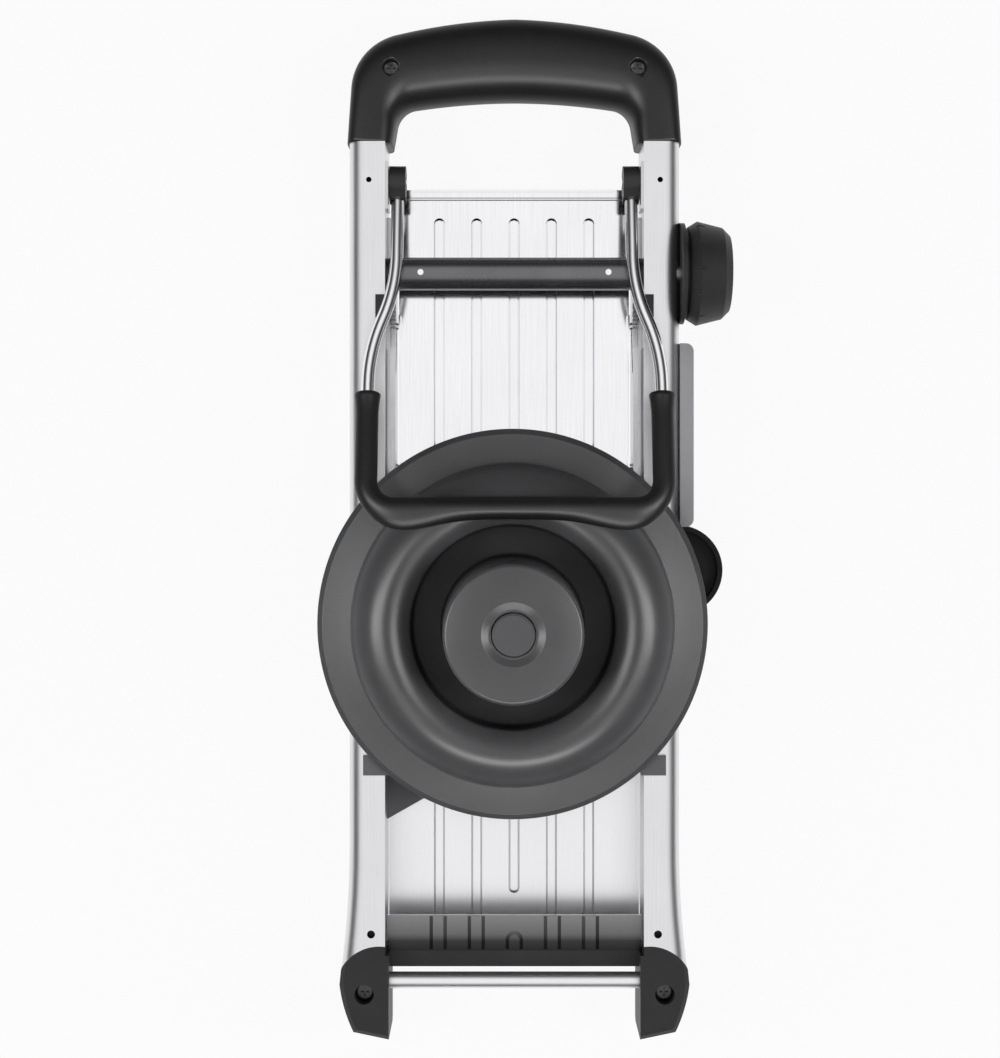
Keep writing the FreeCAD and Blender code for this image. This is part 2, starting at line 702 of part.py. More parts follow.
def feet():
    seat = d.rail_height - d.screw_sink - d.screw_head
    pilot = seat - d.screw_length
    screws = []
    for name, side in SIDES.items():
        inner = side * d.foot_inner
        rail_edge = side * (rail_outer + d.flare_reach)
        cheek = side * d.foot_half
        tip = side * d.foot_tip_x
        body = new_body()
        sketch = new_sketch(body, "XY_Plane")
        outline(sketch, [
            (side * rail_inner, d.rail_bottom),
            (side * rail_inner, d.landing_end),
            (inner, d.landing_end),
            (inner, d.foot_low),
            (tip, d.foot_low + d.foot_heel, (side, d.foot_bow)),
            (cheek, d.foot_cheek_y),
            (rail_edge, d.rail_bottom - d.rail_slant, (side, d.foot_arch)),
        ])
        pad = feature(body, "Pad", sketch, d.rail_height)
        soften(
            body, pad, "Chamfer", d.foot_edge,
            lambda p: (near(p.z, 0) or near(p.z, d.rail_height))
            and p.y < d.rail_bottom.value - d.rail_slant.value
            and abs(p.x) > d.foot_inner.value + 1,
        )
        tongue = between(side, tongue_low_x, tongue_low_x + d.tongue_width)
        reach = (d.rail_bottom - d.rail_slant, d.rail_bottom + d.tongue_length)
        spigot = block(tongue, reach, (tongue_low_z, d.rail_height - tongue_low_z))
        x = side * d.foot_screw_x
        socket = between(side, d.foot_inner - 1, d.foot_inner + d.tube_socket)
        holes = [
            rod("z", d.foot_sink_r, seat, d.rail_height + 1, x, d.foot_screw_y),
            rod("z", d.screw_r + d.pin_play, pilot, seat + 1, x, d.foot_screw_y),
            rod("x", d.tube_r + d.pin_play, *socket, d.tube_y, d.tube_z),
        ]
        node(f"{name}_foot", cut(fuse(body, spigot), *holes))
        screws.append(screw(x, d.foot_screw_y, seat))
    node("foot_screws", group(*screws))


def front_end():
    half = d.foot_inner + d.tube_socket
    tube = rod("x", d.tube_r, -half, half, d.tube_y, d.tube_z)
    bore = rod("x", d.tube_r - d.tube_wall, -half - 1, half + 1, d.tube_y, d.tube_z)
    node("front_tube", cut(tube, bore))
    strip_ys = (d.strip_low, d.landing_end)
    node("front_strip", block((-d.foot_inner, d.foot_inner), strip_ys, (d.deck_z, d.strip_top_z)))


RIB_SLOPE = -45


def ribs(body, spans, low):
    """Pressed ribs in a sheet: ridges on its lower face and grooves in its upper face."""
    ridge = new_sketch(body, "XY_Plane", low)
    groove = new_sketch(body, "XY_Plane", low + d.sheet)
    for index, (start, end) in spans.items():
        half = d.rib_width / 2
        for sketch in (ridge, groove):
            left = index * d.rib_pitch - half
            right = index * d.rib_pitch + half
            outline(sketch, [
                (left, start + half, (1, None)),
                (right, start + half),
                (right, end - half, (1, None)),
                (left, end - half),
            ])
    feature(body, "Pad", ridge, d.rib_rise, Reversed=True)
    feature(body, "Pocket", groove, d.rib_rise, TaperAngle=RIB_SLOPE)


RIBS = range(-2, 3)


def landing_plate():
    half = rail_inner - d.landing_gap
    back = d.carrier_back - d.fit_gap
    wall = d.landing_end + d.sheet
    body = new_body()
    plate = new_sketch(body, "XY_Plane", d.deck_z)
    outline(plate, [
        (-half, d.landing_end),
        (half, d.landing_end),
        (half, blade_y(half, back)),
        (-half, blade_y(-half, back)),
    ])
    feature(body, "Pad", plate, d.sheet)
    hook = new_sketch(body, "YZ_Plane")
    outline(hook, [
        (d.landing_end, d.deck_z),
        (wall, d.deck_z),
        (wall, d.flange_z - d.sheet),
        (d.flange_edge, d.flange_z - d.sheet),
        (d.flange_edge, d.flange_z),
        (d.landing_end, d.flange_z),
    ])
    feature(body, "Pad", hook, 2 * half, Midplane=True)
    spans = {}
    for index in RIBS:
        low = d.rib_mid_end if index == 0 else d.rib_low_end
        spans[index] = (low, blade_y(index * d.rib_pitch, back) - d.rib_width)
    ribs(body, spans, d.deck_z)
    node("landing_plate", body)


def runway():
    front = d.blade_edge + d.runway_slot
    half = d.runway_half
    body = new_body()
    plate = new_sketch(body, "XY_Plane", d.deck_z)
    outline(plate, [
        (-half, blade_y(-half, front)),
        (half, blade_y(half, front)),
        (half, d.runway_top),
        (-half, d.runway_top),
    ])
    feature(body, "Pad", plate, d.sheet)
    lip = new_sketch(body, "XY_Plane", d.deck_z)
    outline(lip, [
        (-d.runway_lip_half, d.runway_top - d.sheet),
        (d.runway_lip_half, d.runway_top - d.sheet),
        (d.runway_lip_half, d.runway_top),
        (-d.runway_lip_half, d.runway_top),
    ])
    feature(body, "Pad", lip, d.sheet + d.runway_lip)
    spans = {}
    for index in RIBS:
        spans[index] = (blade_y(index * d.rib_pitch, front) + d.rib_width, d.rib_top_end)
    ribs(body, spans, d.deck_z)
    lugs = []
    pins = []
    holes = []
    for side in SIDES.values():
        for y in (d.lug_upper_y, d.lug_lower_y):
            cheek = between(side, half - d.sheet, half)
            edge = (y - d.lug_width / 2, y + d.lug_width / 2)
            lugs.append(block(cheek, edge, (d.deck_z, d.pin_z + 2 * d.pin_r)))
            reach = between(side, half - d.sheet, slide_outer)
            pins.append(rod("x", d.pin_r, *reach, y, d.pin_z))
            holes.append(rod("x", d.pin_r, *reach, y, d.pin_z))
    node("runway_plate", cut(fuse(body, *lugs), *holes))
    node("runway_pins", group(*pins))


def tooth_half(rise):
    """Half the thickness of a tooth at a height above its pitch line."""
    spacing = 2 * math.pi * d.pitch_r / d.pinion_teeth
    lean = sine(d.tooth_lean) / cosine(d.tooth_lean)
    return spacing * d.tooth_share / 2 - rise * lean


def slide_slot(side, y):
    """Slanted slot for one lift pin: the pin starts at its lower end."""
    reach = between(side, d.slide_x - 1, slide_outer + 1)
    radius = d.pin_r + d.fit_gap / 2
    rise = d.runway_travel / d.slide_travel
    body = new_body()
    sketch = new_sketch(body, "YZ_Plane", reach[0])
    steep = root(1 + rise * rise)
    over_y = radius * rise / steep
    over_z = radius / steep
    far_y = y - d.slide_travel
    far_z = d.pin_z + d.runway_travel
    outline(sketch, [
        (y + over_y, d.pin_z + over_z),
        (far_y + over_y, far_z + over_z, (1, None)),
        (far_y - over_y, far_z - over_z),
        (y - over_y, d.pin_z - over_z, (1, None)),
    ])
    feature(body, "Pad", sketch, reach[1] - reach[0])
    return body


def lift_slides():
    spacing = 2 * math.pi * d.pitch_r / d.pinion_teeth
    pitch_z = d.dial_z - d.pitch_r
    base_z = pitch_z - d.tooth_sink
    tip_z = pitch_z + d.tooth_rise
    count = math.floor((d.dial_y.value + 2 - d.slide_step.value - 4) / spacing.value)
    for name, side in SIDES.items():
        teeth = []
        for i in range(count):
            y = d.dial_y + spacing / 2 - i * spacing
            foot = tooth_half(-d.tooth_sink)
            tip = tooth_half(d.tooth_rise)
            teeth += [(y + foot, base_z), (y + tip, tip_z), (y - tip, tip_z), (y - foot, base_z)]
        reach = between(side, d.slide_x, slide_outer)
        body = new_body()
        sketch = new_sketch(body, "YZ_Plane", reach[0])
        outline(sketch, [
            (d.slide_low, d.slide_base_z),
            (d.slide_high, d.slide_base_z),
            (d.slide_high, base_z),
            *teeth,
            (d.slide_step, base_z),
            (d.slide_step, d.slide_tall_z),
            (d.slide_low, d.slide_tall_z),
        ])
        feature(body, "Pad", sketch, d.slide_thick)
        slots = [slide_slot(side, y) for y in (d.lug_upper_y, d.lug_lower_y)]
        node(f"{name}_lift_slide", cut(body, *slots))


def slide_guides():
    rivets = []
    low = d.slide_base_z - d.fit_gap
    rivet_z = (d.slide_base_z + d.guide_top_z) / 2
    for name, side in SIDES.items():
        run = (d.slide_low, d.guide_end)
        back = block(between(side, guide_inner, rail_inner), run, (low - d.guide_wall, d.guide_top_z))
        ledge = block(between(side, d.slide_x, guide_inner), run, (low - d.guide_wall, low))
        holes = []
        for y in guide_rivet_spots():
            reach = between(side, guide_inner, rail_inner + d.rail_wall)
            holes.append(rod("x", d.rivet_r, *reach, y, rivet_z))
            rivets.append(rod("x", d.rivet_r, *reach, y, rivet_z))
        node(f"{name}_slide_guide", cut(fuse(back, ledge), *holes))
    node("guide_rivets", group(*rivets))


def adjuster():
    tube_half = d.slide_x - d.fit_gap
    knob_seat = rail_outer + d.ring_thick + d.fit_gap
    rod_end = knob_seat + d.knob_depth / 2
    rod_start = -(rail_inner + 4 * d.rail_wall)
    node("adjust_rod", rod("x", d.rod_r, rod_start, rod_end, d.dial_y, d.dial_z))
    tube = rod("x", d.cross_tube_r, -tube_half, tube_half, d.dial_y, d.dial_z)
    holes = [rod("x", d.rod_r, -tube_half, tube_half, d.dial_y, d.dial_z)]
    pins = []
    for side in SIDES.values():
        rise = (d.dial_z + d.rod_r, d.dial_z + d.cross_tube_r)
        holes.append(rod("z", d.cross_pin_r, *rise, side * d.cross_pin_x, d.dial_y))
        pins.append(rod("z", d.cross_pin_r, *rise, side * d.cross_pin_x, d.dial_y))
    tube = cut(tube, *holes)
    node("adjust_tube", tube)
    bored = rod("x", d.rod_r, -tube_half, tube_half, d.dial_y, d.dial_z)
    node("tube_pins", cut(group(*pins), bored))
    for name, side in SIDES.items():
        reach = between(side, d.slide_x, slide_outer)
        body = new_body()
        sketch = new_sketch(body, "YZ_Plane", reach[0])
        outline(sketch, pinion_corners())
        ring(sketch, d.rod_r)
        feature(body, "Pad", sketch, d.slide_thick)
        place(body, 0, d.dial_y, d.dial_z)
        node(f"{name}_pinion", body)
        inside = between(side, guide_inner, rail_inner)
        collar = rod("x", d.bush_flange_r, *inside, d.dial_y, d.dial_z)
        through = between(side, guide_inner, rail_inner + 3 * d.rail_wall)
        barrel = rod("x", d.bush_r, *through, d.dial_y, d.dial_z)
        bore = rod("x", d.rod_r + d.pin_play, *through, d.dial_y, d.dial_z)
        node(f"{name}_shaft_bush", cut(fuse(collar, barrel), bore))
    dial_knob(knob_seat)


def pinion_corners():
    """Outline of a pinion with a tooth pointing down."""
    count = d.pinion_teeth.count()
    low = d.pitch_r - d.tooth_sink
    high = d.pitch_r + d.tooth_rise
    degrees = 180 / math.pi
    foot = tooth_half(-d.tooth_sink) / low * degrees
    tip = tooth_half(d.tooth_rise) / high * degrees
    corners = []
    for i in range(count):
        turn = as_size(i) * FULL_TURN / d.pinion_teeth - FULL_TURN / 4
        for radius, angle in ((low, turn - foot), (high, turn - tip), (high, turn + tip), (low, turn + foot)):
            corners.append((radius * cosine(angle), radius * sine(angle)))
    return corners


def dial_knob(seat):
    disc = rod("x", d.ring_r, rail_outer, rail_outer + d.ring_thick, d.dial_y, d.dial_z)
    bore = rod("x", d.rod_r + d.pin_play, rail_outer, seat, d.dial_y, d.dial_z)
    node("dial_ring", cut(disc, bore))
    face = seat + d.knob_depth
    body = new_body()
    sketch = new_sketch(body, "XY_Plane")
    outline(sketch, [
        (seat, as_size(0)),
        (face, as_size(0)),
        (face, d.knob_front_r - d.knob_edge),
        (face - d.knob_edge, d.knob_front_r),
        (seat + d.knob_shoulder, d.knob_r),
        (seat + d.knob_neck, d.knob_back_r),
        (seat + d.knob_neck, d.knob_neck_r),
        (seat, d.knob_neck_r),
    ])
    feature(body, "Revolution", sketch, ReferenceAxis=(sketch, ["H_Axis"]), Angle=FULL_TURN)
    place(body, 0, d.dial_y, d.dial_z)
    tools = [rod("x", d.rod_r, seat, seat + d.knob_depth / 2, d.dial_y, d.dial_z)]
    for i in range(d.knob_grooves.count()):
        angle = as_size(i) * FULL_TURN / d.knob_grooves
        y = d.dial_y + d.knob_r * cosine(angle)
        z = d.dial_z + d.knob_r * sine(angle)
        tools.append(rod("x", d.knob_groove_r, seat, face, y, z))
    node("dial_knob", cut(body, *tools))


def legend_plate():
    far = rail_outer + d.legend_thick
    ends = (d.legend_low, d.legend_high)
    body = slab(
        [(rail_outer, ends[0]), (far, ends[0]), (far, ends[1]), (rail_outer, ends[1])],
        d.legend_z, d.legend_top_z,
    )
    soften(
        body, body.Tip, "Fillet", d.legend_corner,
        lambda p: near(p.x, far) and (near(p.y, ends[0]) or near(p.y, ends[1])),
    )
    node("legend_plate", body)


def half_disc(radius):
    """Half disc that stands out from the right rail, centred on the blade cartridge."""
    return [(pull_x, d.pull_y - radius, (1, None)), (pull_x, d.pull_y + radius)]


def blade_cartridge():
    rivets = []
    carrier_holes = []
    blade_holes = []
    for side in SIDES.values():
        x = side * d.blade_rivet_x
        y = blade_y(x, d.blade_back + 2 * d.blade_rivet_r)
        span = (d.deck_z, carrier_top_z)
        rivets.append(rod("z", d.blade_rivet_r, *span, x, y))
        carrier_holes.append(rod("z", d.blade_rivet_r, *span, x, y))
        blade_holes.append(rod("z", d.blade_rivet_r, *span, x, y))
    strip = blade_band(-d.carrier_left, pull_x, d.carrier_back, d.carrier_front)
    node("blade_carrier", cut(slab(strip, carrier_low_z, carrier_top_z), *carrier_holes))
    strip = blade_band(-d.blade_left, d.blade_right, d.blade_back, d.blade_edge)
    blade = slab(strip, d.deck_z, carrier_low_z)
    cutting_y = blade_y((d.blade_right - d.blade_left) / 2, d.blade_edge).value
    soften(
        blade, blade.Tip, "Chamfer", d.blade_bevel,
        lambda p: near(p.y, cutting_y) and near(p.z, carrier_low_z),
    )
    node("slicing_blade", cut(blade, *blade_holes))
    node("blade_rivets", group(*rivets))
    grip = slab(half_disc(d.pull_r), d.pull_z, d.pull_top_z)
    trough = new_sketch(grip, "XY_Plane", d.pull_top_z)
    outer = d.pull_r - d.pull_rim
    inner = outer - d.pull_trough
    outline(trough, [
        (pull_x, d.pull_y - outer, (1, None)),
        (pull_x, d.pull_y + outer),
        (pull_x, d.pull_y + inner, (-1, None)),
        (pull_x, d.pull_y - inner),
    ])
    feature(grip, "Pocket", trough, d.pull_sink)
    node("blade_grip", grip)


def blade_bridge():
    back = d.carrier_back - d.fit_gap
    low = bridge_floor_z + d.bridge_thick
    body = slab(blade_band(-rail_inner, rail_inner, d.bridge_back, back), sheet_top, low)
    floor = new_sketch(body, "XY_Plane", bridge_floor_z)
    outline(floor, blade_band(-rail_inner, rail_inner, d.bridge_back, d.carrier_front))
    feature(body, "Pad", floor, d.bridge_thick)
    node("blade_bridge", body)


def rail_clips():
    top = d.rail_height + d.clip_thick
    near_wall = rail_inner - d.clip_thick
    rows = {
        "holder_clip": (d.clip_y, d.clip_width, d.clip_reach),
        "leg_rest": (d.rest_y, d.rest_width, d.rest_reach),
    }
    for label, (y, width, reach) in rows.items():
        ys = (y - width / 2, y + width / 2)
        for name, side in SIDES.items():
            over = between(side, near_wall, rail_inner + reach)
            beside = between(side, near_wall, rail_inner)
            plate = block(over, ys, (d.rail_height, top))
            drop = block(beside, ys, (d.rail_height - d.clip_drop, d.rail_height))
            node(f"{name}_{label}", fuse(plate, drop))


def tilt(thing):
    """Turn a piece of the leg into the folded leg's slope, about the hinge."""
    thing.Placement.Rotation = FreeCAD.Rotation(FreeCAD.Vector(1, 0, 0), -d.leg_tilt.value)
    bind(thing, "Placement.Rotation.Angle", -d.leg_tilt)
    thing.Placement.Rotation.Axis = FreeCAD.Vector(1, 0, 0)
    return place(thing, 0, d.hinge_y, d.hinge_z)


def leg_route(start):
    """Bent wire from one knuckle round the bar to the other, in the leg's own plane."""
    step = d.leg_low_half - leg_top_half
    run = d.leg_bend_end - d.leg_bend_start
    bow = (step * step + run * run) / (4 * step)
    waist = (d.leg_low_half + leg_top_half) / 2
    halfway = -(d.leg_bend_end + d.leg_bend_start) / 2
    low = -d.leg_length
    upper = [
        (-leg_top_half, -start),
        (-leg_top_half, -d.leg_bend_start, (-1, bow)),
        (-waist, halfway, (1, bow)),
    ]
    lower = [
        (-d.leg_low_half, -d.leg_bend_end),
        (-d.leg_low_half, low + d.leg_corner, (1, d.leg_corner)),
        (-d.leg_low_half + d.leg_corner, low),
        (d.leg_low_half - d.leg_corner, low, (1, d.leg_corner)),
        (d.leg_low_half, low + d.leg_corner),
    ]
    closing = [
        (d.leg_low_half, -d.leg_bend_end, (1, bow)),
        (waist, halfway, (-1, bow)),
        (leg_top_half, -d.leg_bend_start),
        (leg_top_half, -start),
    ]
    return upper + lower + closing


def sleeve_route():
    low = -d.leg_length
    return [
        (-d.leg_low_half, -d.sleeve_start),
        (-d.leg_low_half, low + d.leg_corner, (1, d.leg_corner)),
        (-d.leg_low_half + d.leg_corner, low),
        (d.leg_low_half - d.leg_corner, low, (1, d.leg_corner)),
        (d.leg_low_half, low + d.leg_corner),
        (d.leg_low_half, -d.sleeve_start),
    ]


def pipe(route, radius, half):
    """Round bar along an open route that starts along the Y direction at X = -half."""
    body = new_body()
    spine = new_sketch(body, "XY_Plane")
    outline(spine, route, closed=False)
    profile = new_sketch(body, "XZ_Plane", -as_size(route[0][1]))
    ring(profile, radius, -half)
    doc.recompute()
    bar = body.newObject("PartDesign::AdditivePipe", "pipe")
    bar.Profile = profile
    edges = [f"Edge{i + 1}" for i in range(len(spine.Shape.Edges))]
    bar.Spine = (spine, edges)
    return body


def leg():
    wire_start = d.knuckle_arm - d.wire_sink
    node("leg_wire", tilt(pipe(leg_route(wire_start), d.wire_r, leg_top_half)))
    sleeve = pipe(sleeve_route(), d.sleeve_r, d.leg_low_half)
    bore = pipe(leg_route(wire_start), d.wire_r + d.pin_play, leg_top_half)
    extras = []
    for side in SIDES.values():
        x = side * d.leg_low_half
        lip = rod("y", d.sleeve_lip_r, -d.sleeve_start - d.sleeve_lip, -d.sleeve_start, x, 0)
        ends = (side * d.pad_x - d.pad_half, side * d.pad_x + d.pad_half)
        pad_y = -d.leg_length - d.pad_drop
        pad = rod("x", d.sleeve_r, *ends, pad_y, 0)
        web = block(ends, (pad_y, -d.leg_length), (-d.sleeve_r, d.sleeve_r))
        extras += [lip, pad, web]
    node("leg_sleeve", tilt(cut(fuse(sleeve, *extras), bore)))
    for name, side in SIDES.items():
        xs = (side * leg_top_half - d.knuckle_half, side * leg_top_half + d.knuckle_half)
        eye = rod("x", d.knuckle_r, *xs, 0, 0)
        arm = block(xs, (-d.knuckle_arm, 0), (-d.knuckle_arm_half, d.knuckle_arm_half))
        socket = rod(
            "y", d.wire_r + d.pin_play, -d.knuckle_arm - 1, -wire_start, side * leg_top_half, 0
        )
        hole = rod("x", d.hinge_pin_r + d.pin_play, xs[0], xs[1], 0, 0)
        node(f"{name}_leg_knuckle", tilt(cut(fuse(eye, arm), socket, hole)))


def leg_hinges():
    pins = []
    for name, side in SIDES.items():
        plate = block(
            between(side, rail_inner - d.bracket_wall, rail_inner),
            (d.bracket_low, d.bracket_high),
            (d.bracket_z, d.rail_height),
        )
        inner_end = leg_top_half - d.knuckle_half - d.fit_gap
        reach = between(side, inner_end, rail_inner + d.rail_wall)
        hole = rod("x", d.hinge_pin_r, *reach, d.hinge_y, d.hinge_z)
        node(f"{name}_leg_bracket", cut(plate, hole))
        pins.append(rod("x", d.hinge_pin_r, *reach, d.hinge_y, d.hinge_z))
    node("leg_pivot_pins", group(*pins))


def hat_corners():
    """Section of the food holder from its rim to its middle and back under the shell."""
    wall = d.hat_wall
    inner_bow = d.dome_bow - wall
    brim_rise = d.brim_thick - d.dome_mid_z
    dome_r = d.dome_mid_r + root(d.dome_bow * d.dome_bow - brim_rise * brim_rise)
    edge_run = d.dome_mid_r - d.trench_r
    dome_edge = d.dome_mid_z + root(d.dome_bow * d.dome_bow - edge_run * edge_run)
    inner_run = edge_run - wall
    inner_edge = d.dome_mid_z + root(inner_bow * inner_bow - inner_run * inner_run)
    under_r = d.dome_mid_r + root(inner_bow * inner_bow - d.dome_mid_z * d.dome_mid_z)
    seat_r = d.button_r + d.fit_gap
    bore_r = d.plunger_r + d.pin_play
    return [
        (d.brim_r, as_size(0)),
        (d.brim_r, d.brim_edge),
        (d.brim_r - d.brim_bevel, d.brim_thick),
        (dome_r, d.brim_thick, (1, d.dome_bow)),
        (d.trench_r, dome_edge),
        (d.trench_r, d.trench_z),
        (d.tower_base_r, d.trench_z),
        (d.tower_r, d.tower_top - d.tower_round, (1, d.tower_round)),
        (d.tower_r - d.tower_round, d.tower_top),
        (seat_r, d.tower_top),
        (seat_r, d.tower_top - d.button_sink),
        (bore_r, d.tower_top - d.button_sink),
        (bore_r, d.tower_top - d.tower_cap),
        (d.tower_r - wall, d.tower_top - d.tower_cap),
        (d.tower_base_r - wall, d.trench_z - wall),
        (d.trench_r, d.trench_z - wall),
        (d.trench_r, -d.skirt),
        (d.trench_r + wall, -d.skirt),
        (d.trench_r + wall, inner_edge, (-1, inner_bow)),
        (under_r, as_size(0)),
    ]


def at_holder(thing):
    return place(thing, d.holder_x, d.holder_y, holder_z)


def revolved(corners):
    body = new_body()
    sketch = new_sketch(body, "XZ_Plane")
    outline(sketch, corners)
    feature(body, "Revolution", sketch, ReferenceAxis=(sketch, ["V_Axis"]), Angle=FULL_TURN)
    return body


def food_holder():
    node("holder_hat", at_holder(revolved(hat_corners())))
    seat = d.tower_top - d.button_sink
    button_top = d.tower_top + d.button_proud
    node("plunger_button", at_holder(revolved([
        (as_size(0), seat),
        (d.button_r, seat),
        (d.button_r, button_top - d.button_proud),
        (d.button_r - d.button_proud, button_top),
        (as_size(0), button_top),
    ])))
    pusher_top = -d.pusher_drop
    pusher_low = pusher_top - d.pusher_thick
    node("plunger_rod", at_holder(revolved([
        (as_size(0), pusher_top),
        (d.plunger_r, pusher_top),
        (d.plunger_r, seat),
        (as_size(0), seat),
    ])))
    node("pusher_plate", at_holder(revolved([
        (as_size(0), pusher_low),
        (pusher_r - d.fit_gap, pusher_low),
        (pusher_r, pusher_low + d.fit_gap),
        (pusher_r, pusher_top),
        (as_size(0), pusher_top),
    ])))
    prongs = []
    for i in range(d.prong_count.count()):
        angle = as_size(i) * FULL_TURN / d.prong_count
        x = d.prong_ring_r * cosine(angle)
        y = d.prong_ring_r * sine(angle)
        neck = pusher_low - d.prong_length + d.prong_point
        shaft = rod("z", d.prong_r, neck, pusher_low, x, y)
        point = doc.addObject("Part::Cone", "point")
        bind(point, "Radius1", d.prong_r / 6)
        bind(point, "Radius2", d.prong_r)
        bind(point, "Height", d.prong_point)
        place(point, x, y, pusher_low - d.prong_length)
        prongs.append(fuse(shaft, point))
    node("holder_prongs", at_holder(group(*prongs)))
    plunger_spring(pusher_top)


def plunger_spring(base):
    """Coil spring round the plunger rod, between the pusher and the holder knob's top."""
    room = d.tower_top - d.tower_cap - base
    body = new_body()
    sketch = new_sketch(body, "XZ_Plane")
    ring(sketch, d.spring_wire_r, d.spring_r, base + 2 * d.spring_wire_r)
    coil = body.newObject("PartDesign::AdditiveHelix", "coil")
    coil.Profile = sketch
    coil.ReferenceAxis = (sketch, ["V_Axis"])
    coil.Mode = "height-turns-angle"
    bind(coil, "Height", room - 4 * d.spring_wire_r)
    bind(coil, "Turns", d.spring_turns)
    node("plunger_spring", at_holder(body))


rails()
handle()
feet()
front_end()
landing_plate()
runway()
lift_slides()
slide_guides()
adjuster()
legend_plate()
blade_cartridge()
blade_bridge()
rail_clips()
leg()
leg_hinges()
food_holder()
doc.recompute()

# Nothing is written unless every object is sound
failed = [thing.Label for thing in doc.Objects if {"Invalid", "Error"} & set(thing.State)]
for name, thing in nodes.items():
    if thing.Shape.isNull() or not thing.Shape.isValid() or not thing.Shape.Solids:
        failed.append(name)
if failed:
    raise RuntimeError("failed: " + ", ".join(failed))
os.makedirs("parts", exist_ok=True)
for name, thing in nodes.items():
    thing.Shape.exportStep(f"parts/{name}.step")
    print(name, len(thing.Shape.Solids), round(thing.Shape.Volume, 1))
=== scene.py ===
import json
import math

import bmesh
import bpy
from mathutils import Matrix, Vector


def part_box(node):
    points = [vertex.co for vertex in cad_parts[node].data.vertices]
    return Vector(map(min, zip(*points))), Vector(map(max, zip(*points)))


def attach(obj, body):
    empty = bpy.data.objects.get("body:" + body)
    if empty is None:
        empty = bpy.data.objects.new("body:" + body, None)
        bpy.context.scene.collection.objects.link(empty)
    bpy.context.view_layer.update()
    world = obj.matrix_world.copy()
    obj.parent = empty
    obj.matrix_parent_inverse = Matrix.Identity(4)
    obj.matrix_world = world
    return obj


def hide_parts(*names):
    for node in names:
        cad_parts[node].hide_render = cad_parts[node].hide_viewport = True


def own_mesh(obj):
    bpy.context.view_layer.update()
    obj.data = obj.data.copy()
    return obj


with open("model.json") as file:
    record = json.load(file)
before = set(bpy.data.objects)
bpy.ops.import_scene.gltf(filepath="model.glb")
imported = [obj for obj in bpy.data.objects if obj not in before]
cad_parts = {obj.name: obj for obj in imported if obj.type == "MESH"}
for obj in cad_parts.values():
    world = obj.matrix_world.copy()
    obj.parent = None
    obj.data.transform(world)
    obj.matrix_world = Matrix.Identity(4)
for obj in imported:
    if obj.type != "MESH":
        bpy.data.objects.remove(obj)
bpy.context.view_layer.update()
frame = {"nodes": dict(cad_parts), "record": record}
nodes = frame["nodes"]

# Plain sizes of shapes are in millimetres; those multiplied by MM, the floor and the lamps are in metres
MM = 0.001
MIDDLE_X = -3.8 * MM
SLOTS = {row["node"]: row["material_slot"] for row in frame["record"]["subparts"]}


# Small helpers for shader nodes

materials = {}


def shader(name):
    """New material, kept in materials under its name."""
    mat = bpy.data.materials.new(name)
    mat.use_nodes = True
    materials[name] = mat
    tree = mat.node_tree
    return tree, tree.nodes["Principled BSDF"]


def feed(tree, socket, value):
    """Links another node's output to a socket, or sets a constant on it."""
    if isinstance(value, bpy.types.NodeSocket):
        tree.links.new(value, socket)
    else:
        socket.default_value = value


def combine(tree, operation, *values):
    node = tree.nodes.new("ShaderNodeMath")
    node.operation = operation
    for socket, value in zip(node.inputs, values):
        feed(tree, socket, value)
    return node.outputs[0]


def mix_colour(tree, factor, first, second):
    node = tree.nodes.new("ShaderNodeMix")
    node.data_type = "RGBA"
    feed(tree, node.inputs["Factor"], factor)
    feed(tree, node.inputs["A"], first)
    feed(tree, node.inputs["B"], second)
    return node.outputs["Result"]


def split(tree, vector):
    """The x, y and z outputs of a vector, by name."""
    node = tree.nodes.new("ShaderNodeSeparateXYZ")
    tree.links.new(vector, node.inputs[0])
    return node.outputs


EVEN = (1.0, 1.0, 1.0)


def place_coords(tree, stretch):
    """Object coordinates in metres, scaled per axis, so that a texture follows the part's own frame."""
    coords = tree.nodes.new("ShaderNodeTexCoord")
    mapping = tree.nodes.new("ShaderNodeMapping")
    mapping.inputs["Scale"].default_value = stretch
    tree.links.new(coords.outputs["Object"], mapping.inputs["Vector"])
    return mapping.outputs["Vector"]


def noise(tree, vector, scale, detail=3.0, roughness=0.55):
    tex = tree.nodes.new("ShaderNodeTexNoise")
    tex.inputs["Scale"].default_value = scale
    tex.inputs["Detail"].default_value = detail
    tex.inputs["Roughness"].default_value = roughness
    tree.links.new(vector, tex.inputs["Vector"])
    return tex.outputs["Fac"]


def ramp(tree, factor, stops):
    """Colour ramp; stops are (position, grey or colour), with the two ends first."""
    node = tree.nodes.new("ShaderNodeValToRGB")
    elements = node.color_ramp.elements
    for index, (position, colour) in enumerate(stops):
        if isinstance(colour, (int, float)):
            colour = (colour, colour, colour)
        element = elements[index] if index < 2 else elements.new(position)
        element.position = position
        element.color = (*colour, 1.0)
    tree.links.new(factor, node.inputs["Fac"])
    return node.outputs["Color"]


def spread(tree, factor, low, high):
    """Stretches a factor from 0 to 1 over low to high."""
    node = tree.nodes.new("ShaderNodeMapRange")
    node.inputs["To Min"].default_value = low
    node.inputs["To Max"].default_value = high
    tree.links.new(factor, node.inputs["Value"])
    return node.outputs["Result"]


def share_between(tree, value, low, high):
    """How far a value has gone from low to high, from 0 to 1."""
    node = tree.nodes.new("ShaderNodeMapRange")
    node.inputs["From Min"].default_value = low
    node.inputs["From Max"].default_value = high
    tree.links.new(value, node.inputs["Value"])
    return node.outputs["Result"]


